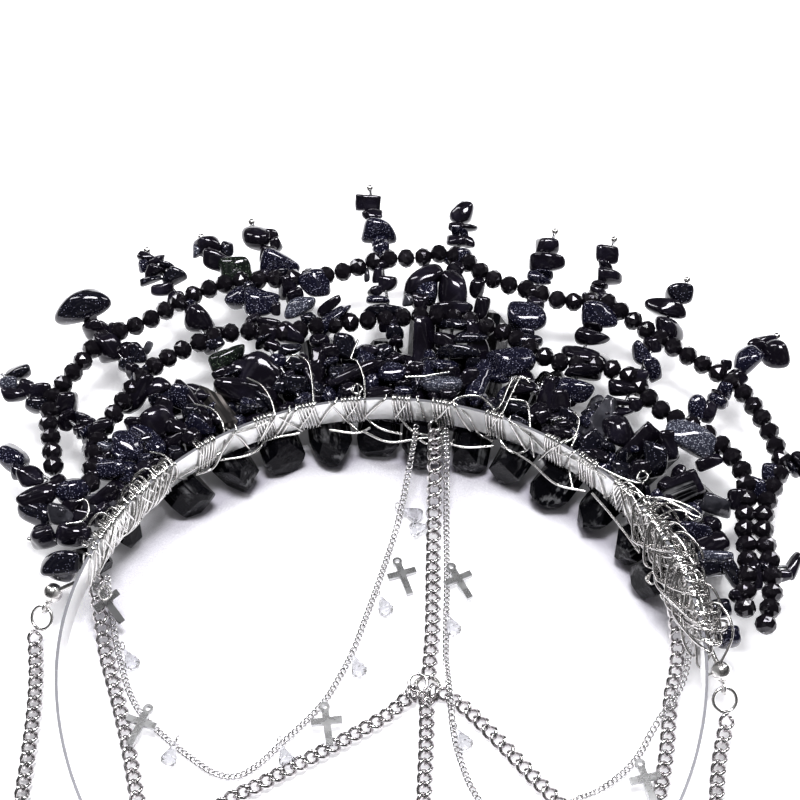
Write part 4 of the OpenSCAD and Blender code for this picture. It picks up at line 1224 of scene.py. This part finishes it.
# Glass drops. The profile gives the half width at distances from the pointed end
DROP_PROFILE = [(0.0, 0.0), (0.28, 0.5), (0.62, 1.5), (1.1, 2.6), (1.55, 3.6), (1.75, 4.4), (1.5, 5.0),
                (0.8, 5.25), (0.0, 5.3)]
DROP_SIDES = 10
DROP_Z = 1.8
MIDDLE_TO_TIP = 2.6
DROP_RING_R = 0.85


def drops():
    """Clear drops on the fine chains, each with a pointed end and a tiny ring."""
    vertices, faces, rings = [], [], []
    for x, y, bearing in DROPS:
        b = math.radians(bearing)
        along = Vector((math.sin(b), math.cos(b), 0))
        side = along.cross(UP)
        tip = Vector((x, y, DROP_Z)) + along * MIDDLE_TO_TIP
        for k, (radius, back) in enumerate(DROP_PROFILE):
            first = len(vertices)
            for m in range(DROP_SIDES):
                a = math.tau * (m + 0.5 * (k % 2)) / DROP_SIDES
                rise = Vector((0, 0, radius * math.sin(a)))
                vertices.append(tip - along * back + side * radius * math.cos(a) + rise)
                n = (m + 1) % DROP_SIDES
                if k:
                    before = first - DROP_SIDES
                    faces.append((before + m, before + n, first + n, first + m))
        across = (side * 0.4 + UP * 0.9).normalized()
        rings.append(ring_path(tip + along * 0.75, DROP_RING_R, along, across, 16))
    glass = new_piece("glass_drops", vertices, faces, [DROP_GLASS])
    glass.data.shade_flat()
    bm = joined(glass.data)
    bmesh.ops.recalc_face_normals(bm, faces=bm.faces)
    bm.to_mesh(glass.data)
    bm.free()
    install(glass, "bead")
    wire_piece("drop_rings", rings, 0.35, 5, FINE_METAL, "chain")


drops()

# Pieces kept from the solids
for node, material in (("band", STRIP_METAL), ("rings", WIRE_METAL), ("left_end_fitting", WIRE_METAL),
                       ("right_end_fitting", WIRE_METAL), ("crosses", CROSS_METAL),
                       ("outer_thread", THREAD_METAL), ("inner_thread", THREAD_METAL)):
    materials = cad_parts[node].data.materials
    materials.clear()
    materials.append(material)


# Floor, light and camera
FLOOR = 2000
# Between these distances from the arch's middle, or places along y, the floor's painted shade fades
OUTSIDE_ARCH, INSIDE_ARCH, BELOW_ARCH = (0.062, 0.078), (0.052, 0.042), (-0.05, -0.062)
LENS = 87.07
CAMERA_PLACE = (0.0038, -0.28675, 0.3577)
# Lamps: name, place, what it is turned to, width and height, power
SOFT_BOXES = [("key_box", (0.0, 0.0, 0.8), (0, -0.02, 0), (0.28, 0.18), 6.8),
              ("left_box", (-0.5, 0.4, 0.6), (0, -0.05, 0), (0.08, 0.5), 2.4),
              ("right_box", (0.5, 0.4, 0.6), (0, -0.05, 0), (0.08, 0.5), 2.4)]


def floor():
    """White paper that glows with painted light so that it shows blown-out white. It has painted shade in the
    nooks, both as a dimmer glow and as a pale lavender colour, least of all inside the arch and below the
    headband."""
    material, tree, shader, place = new_material("white_paper", (0.9, 0.9, 0.92))
    nook = put(tree, "ShaderNodeAmbientOcclusion", {"Distance": 0.04}, samples=4)["AO"]
    off_centre = put(tree, "ShaderNodeVectorMath", {0: place, 1: (0.0, -BAND_R * MM, 0.0)},
                     operation="DISTANCE")["Value"]
    outside = span(off_centre, *OUTSIDE_ARCH)
    low = span(put(tree, "ShaderNodeSeparateXYZ", {0: place})[1], *BELOW_ARCH)
    middle = maths("MAXIMUM", span(off_centre, *INSIDE_ARCH), low)
    # Painted light: the glow's strength in the ring of crystals and outside it, dimmed as painted shade in
    # the nooks that the ambient occlusion finds
    arch_painted_glow = maths("MAXIMUM", span(nook, 0.5, 0.92, 0.0, 0.6), times(middle, 0.52))
    outer_painted_glow = span(nook, 0.35, 0.72, 0.1, 0.85)
    # Painted shade: where this share is low, in the nooks of the ring of crystals, the paper's colour turns
    # pale lavender
    clear = maths("MAXIMUM", maths("MAXIMUM", span(nook, 0.45, 0.82), outside), middle)
    grain = span(noise(place, 60.0, 4.0), 0.3, 0.7)
    tone = mix_colour(grain, (0.9, 0.9, 0.92), (0.92, 0.92, 0.93))
    feed(shader, {"Roughness": 0.9, "Emission Color": (0.97, 0.96, 1.0),
                  "Emission Strength": put(tree, "ShaderNodeMix", {0: outside, 2: arch_painted_glow, 3: outer_painted_glow})[0],
                  "Base Color": mix_colour(clear, (0.4, 0.38, 0.46), tone)})
    corners = [(-FLOOR, -FLOOR, 0), (FLOOR, -FLOOR, 0), (FLOOR, FLOOR, 0), (-FLOOR, FLOOR, 0)]
    new_piece("floor", corners, [(0, 1, 2, 3)], [material])


def soft_box(name, place, target, size, power):
    """A lamp with a soft rectangle of light, turned to a target."""
    light = bpy.data.lights.new(name, "AREA")
    light.shape = "RECTANGLE"
    light.size, light.size_y = size
    light.energy = power
    lamp = show(name, light)
    lamp.location = place
    lamp.rotation_euler = (Vector(target) - Vector(place)).to_track_quat("-Z", "Y").to_euler()


def studio():
    """A dim room with brighter patches, which the stones' facets mirror."""
    world = bpy.data.worlds.new("studio")
    world.use_nodes = True
    room = world.node_tree
    direction = put(room, "ShaderNodeTexCoord")["Generated"]
    both_sides = put(room, "ShaderNodeVectorMath", {0: direction}, operation="ABSOLUTE")[0]
    patches = span(noise(both_sides, 3.2, 1.0), 0.54, 0.6, 0.05, 0.36)
    feed(room.nodes["Background"], {"Strength": patches, "Color": (1, 1, 1)})
    bpy.context.scene.world = world


def photo_camera():
    """The photograph's camera."""
    lens = bpy.data.cameras.new("camera")
    lens.sensor_width = 36
    lens.lens = LENS
    lens.clip_start = 0.01
    camera = show("camera", lens)
    camera.location = CAMERA_PLACE
    camera.rotation_euler = (math.radians(90) - EYE_TILT, 0, 0)
    bpy.context.scene.camera = camera


floor()
for row in SOFT_BOXES:
    soft_box(*row)
studio()
photo_camera()
bpy.context.scene.view_settings.view_transform = "Standard"
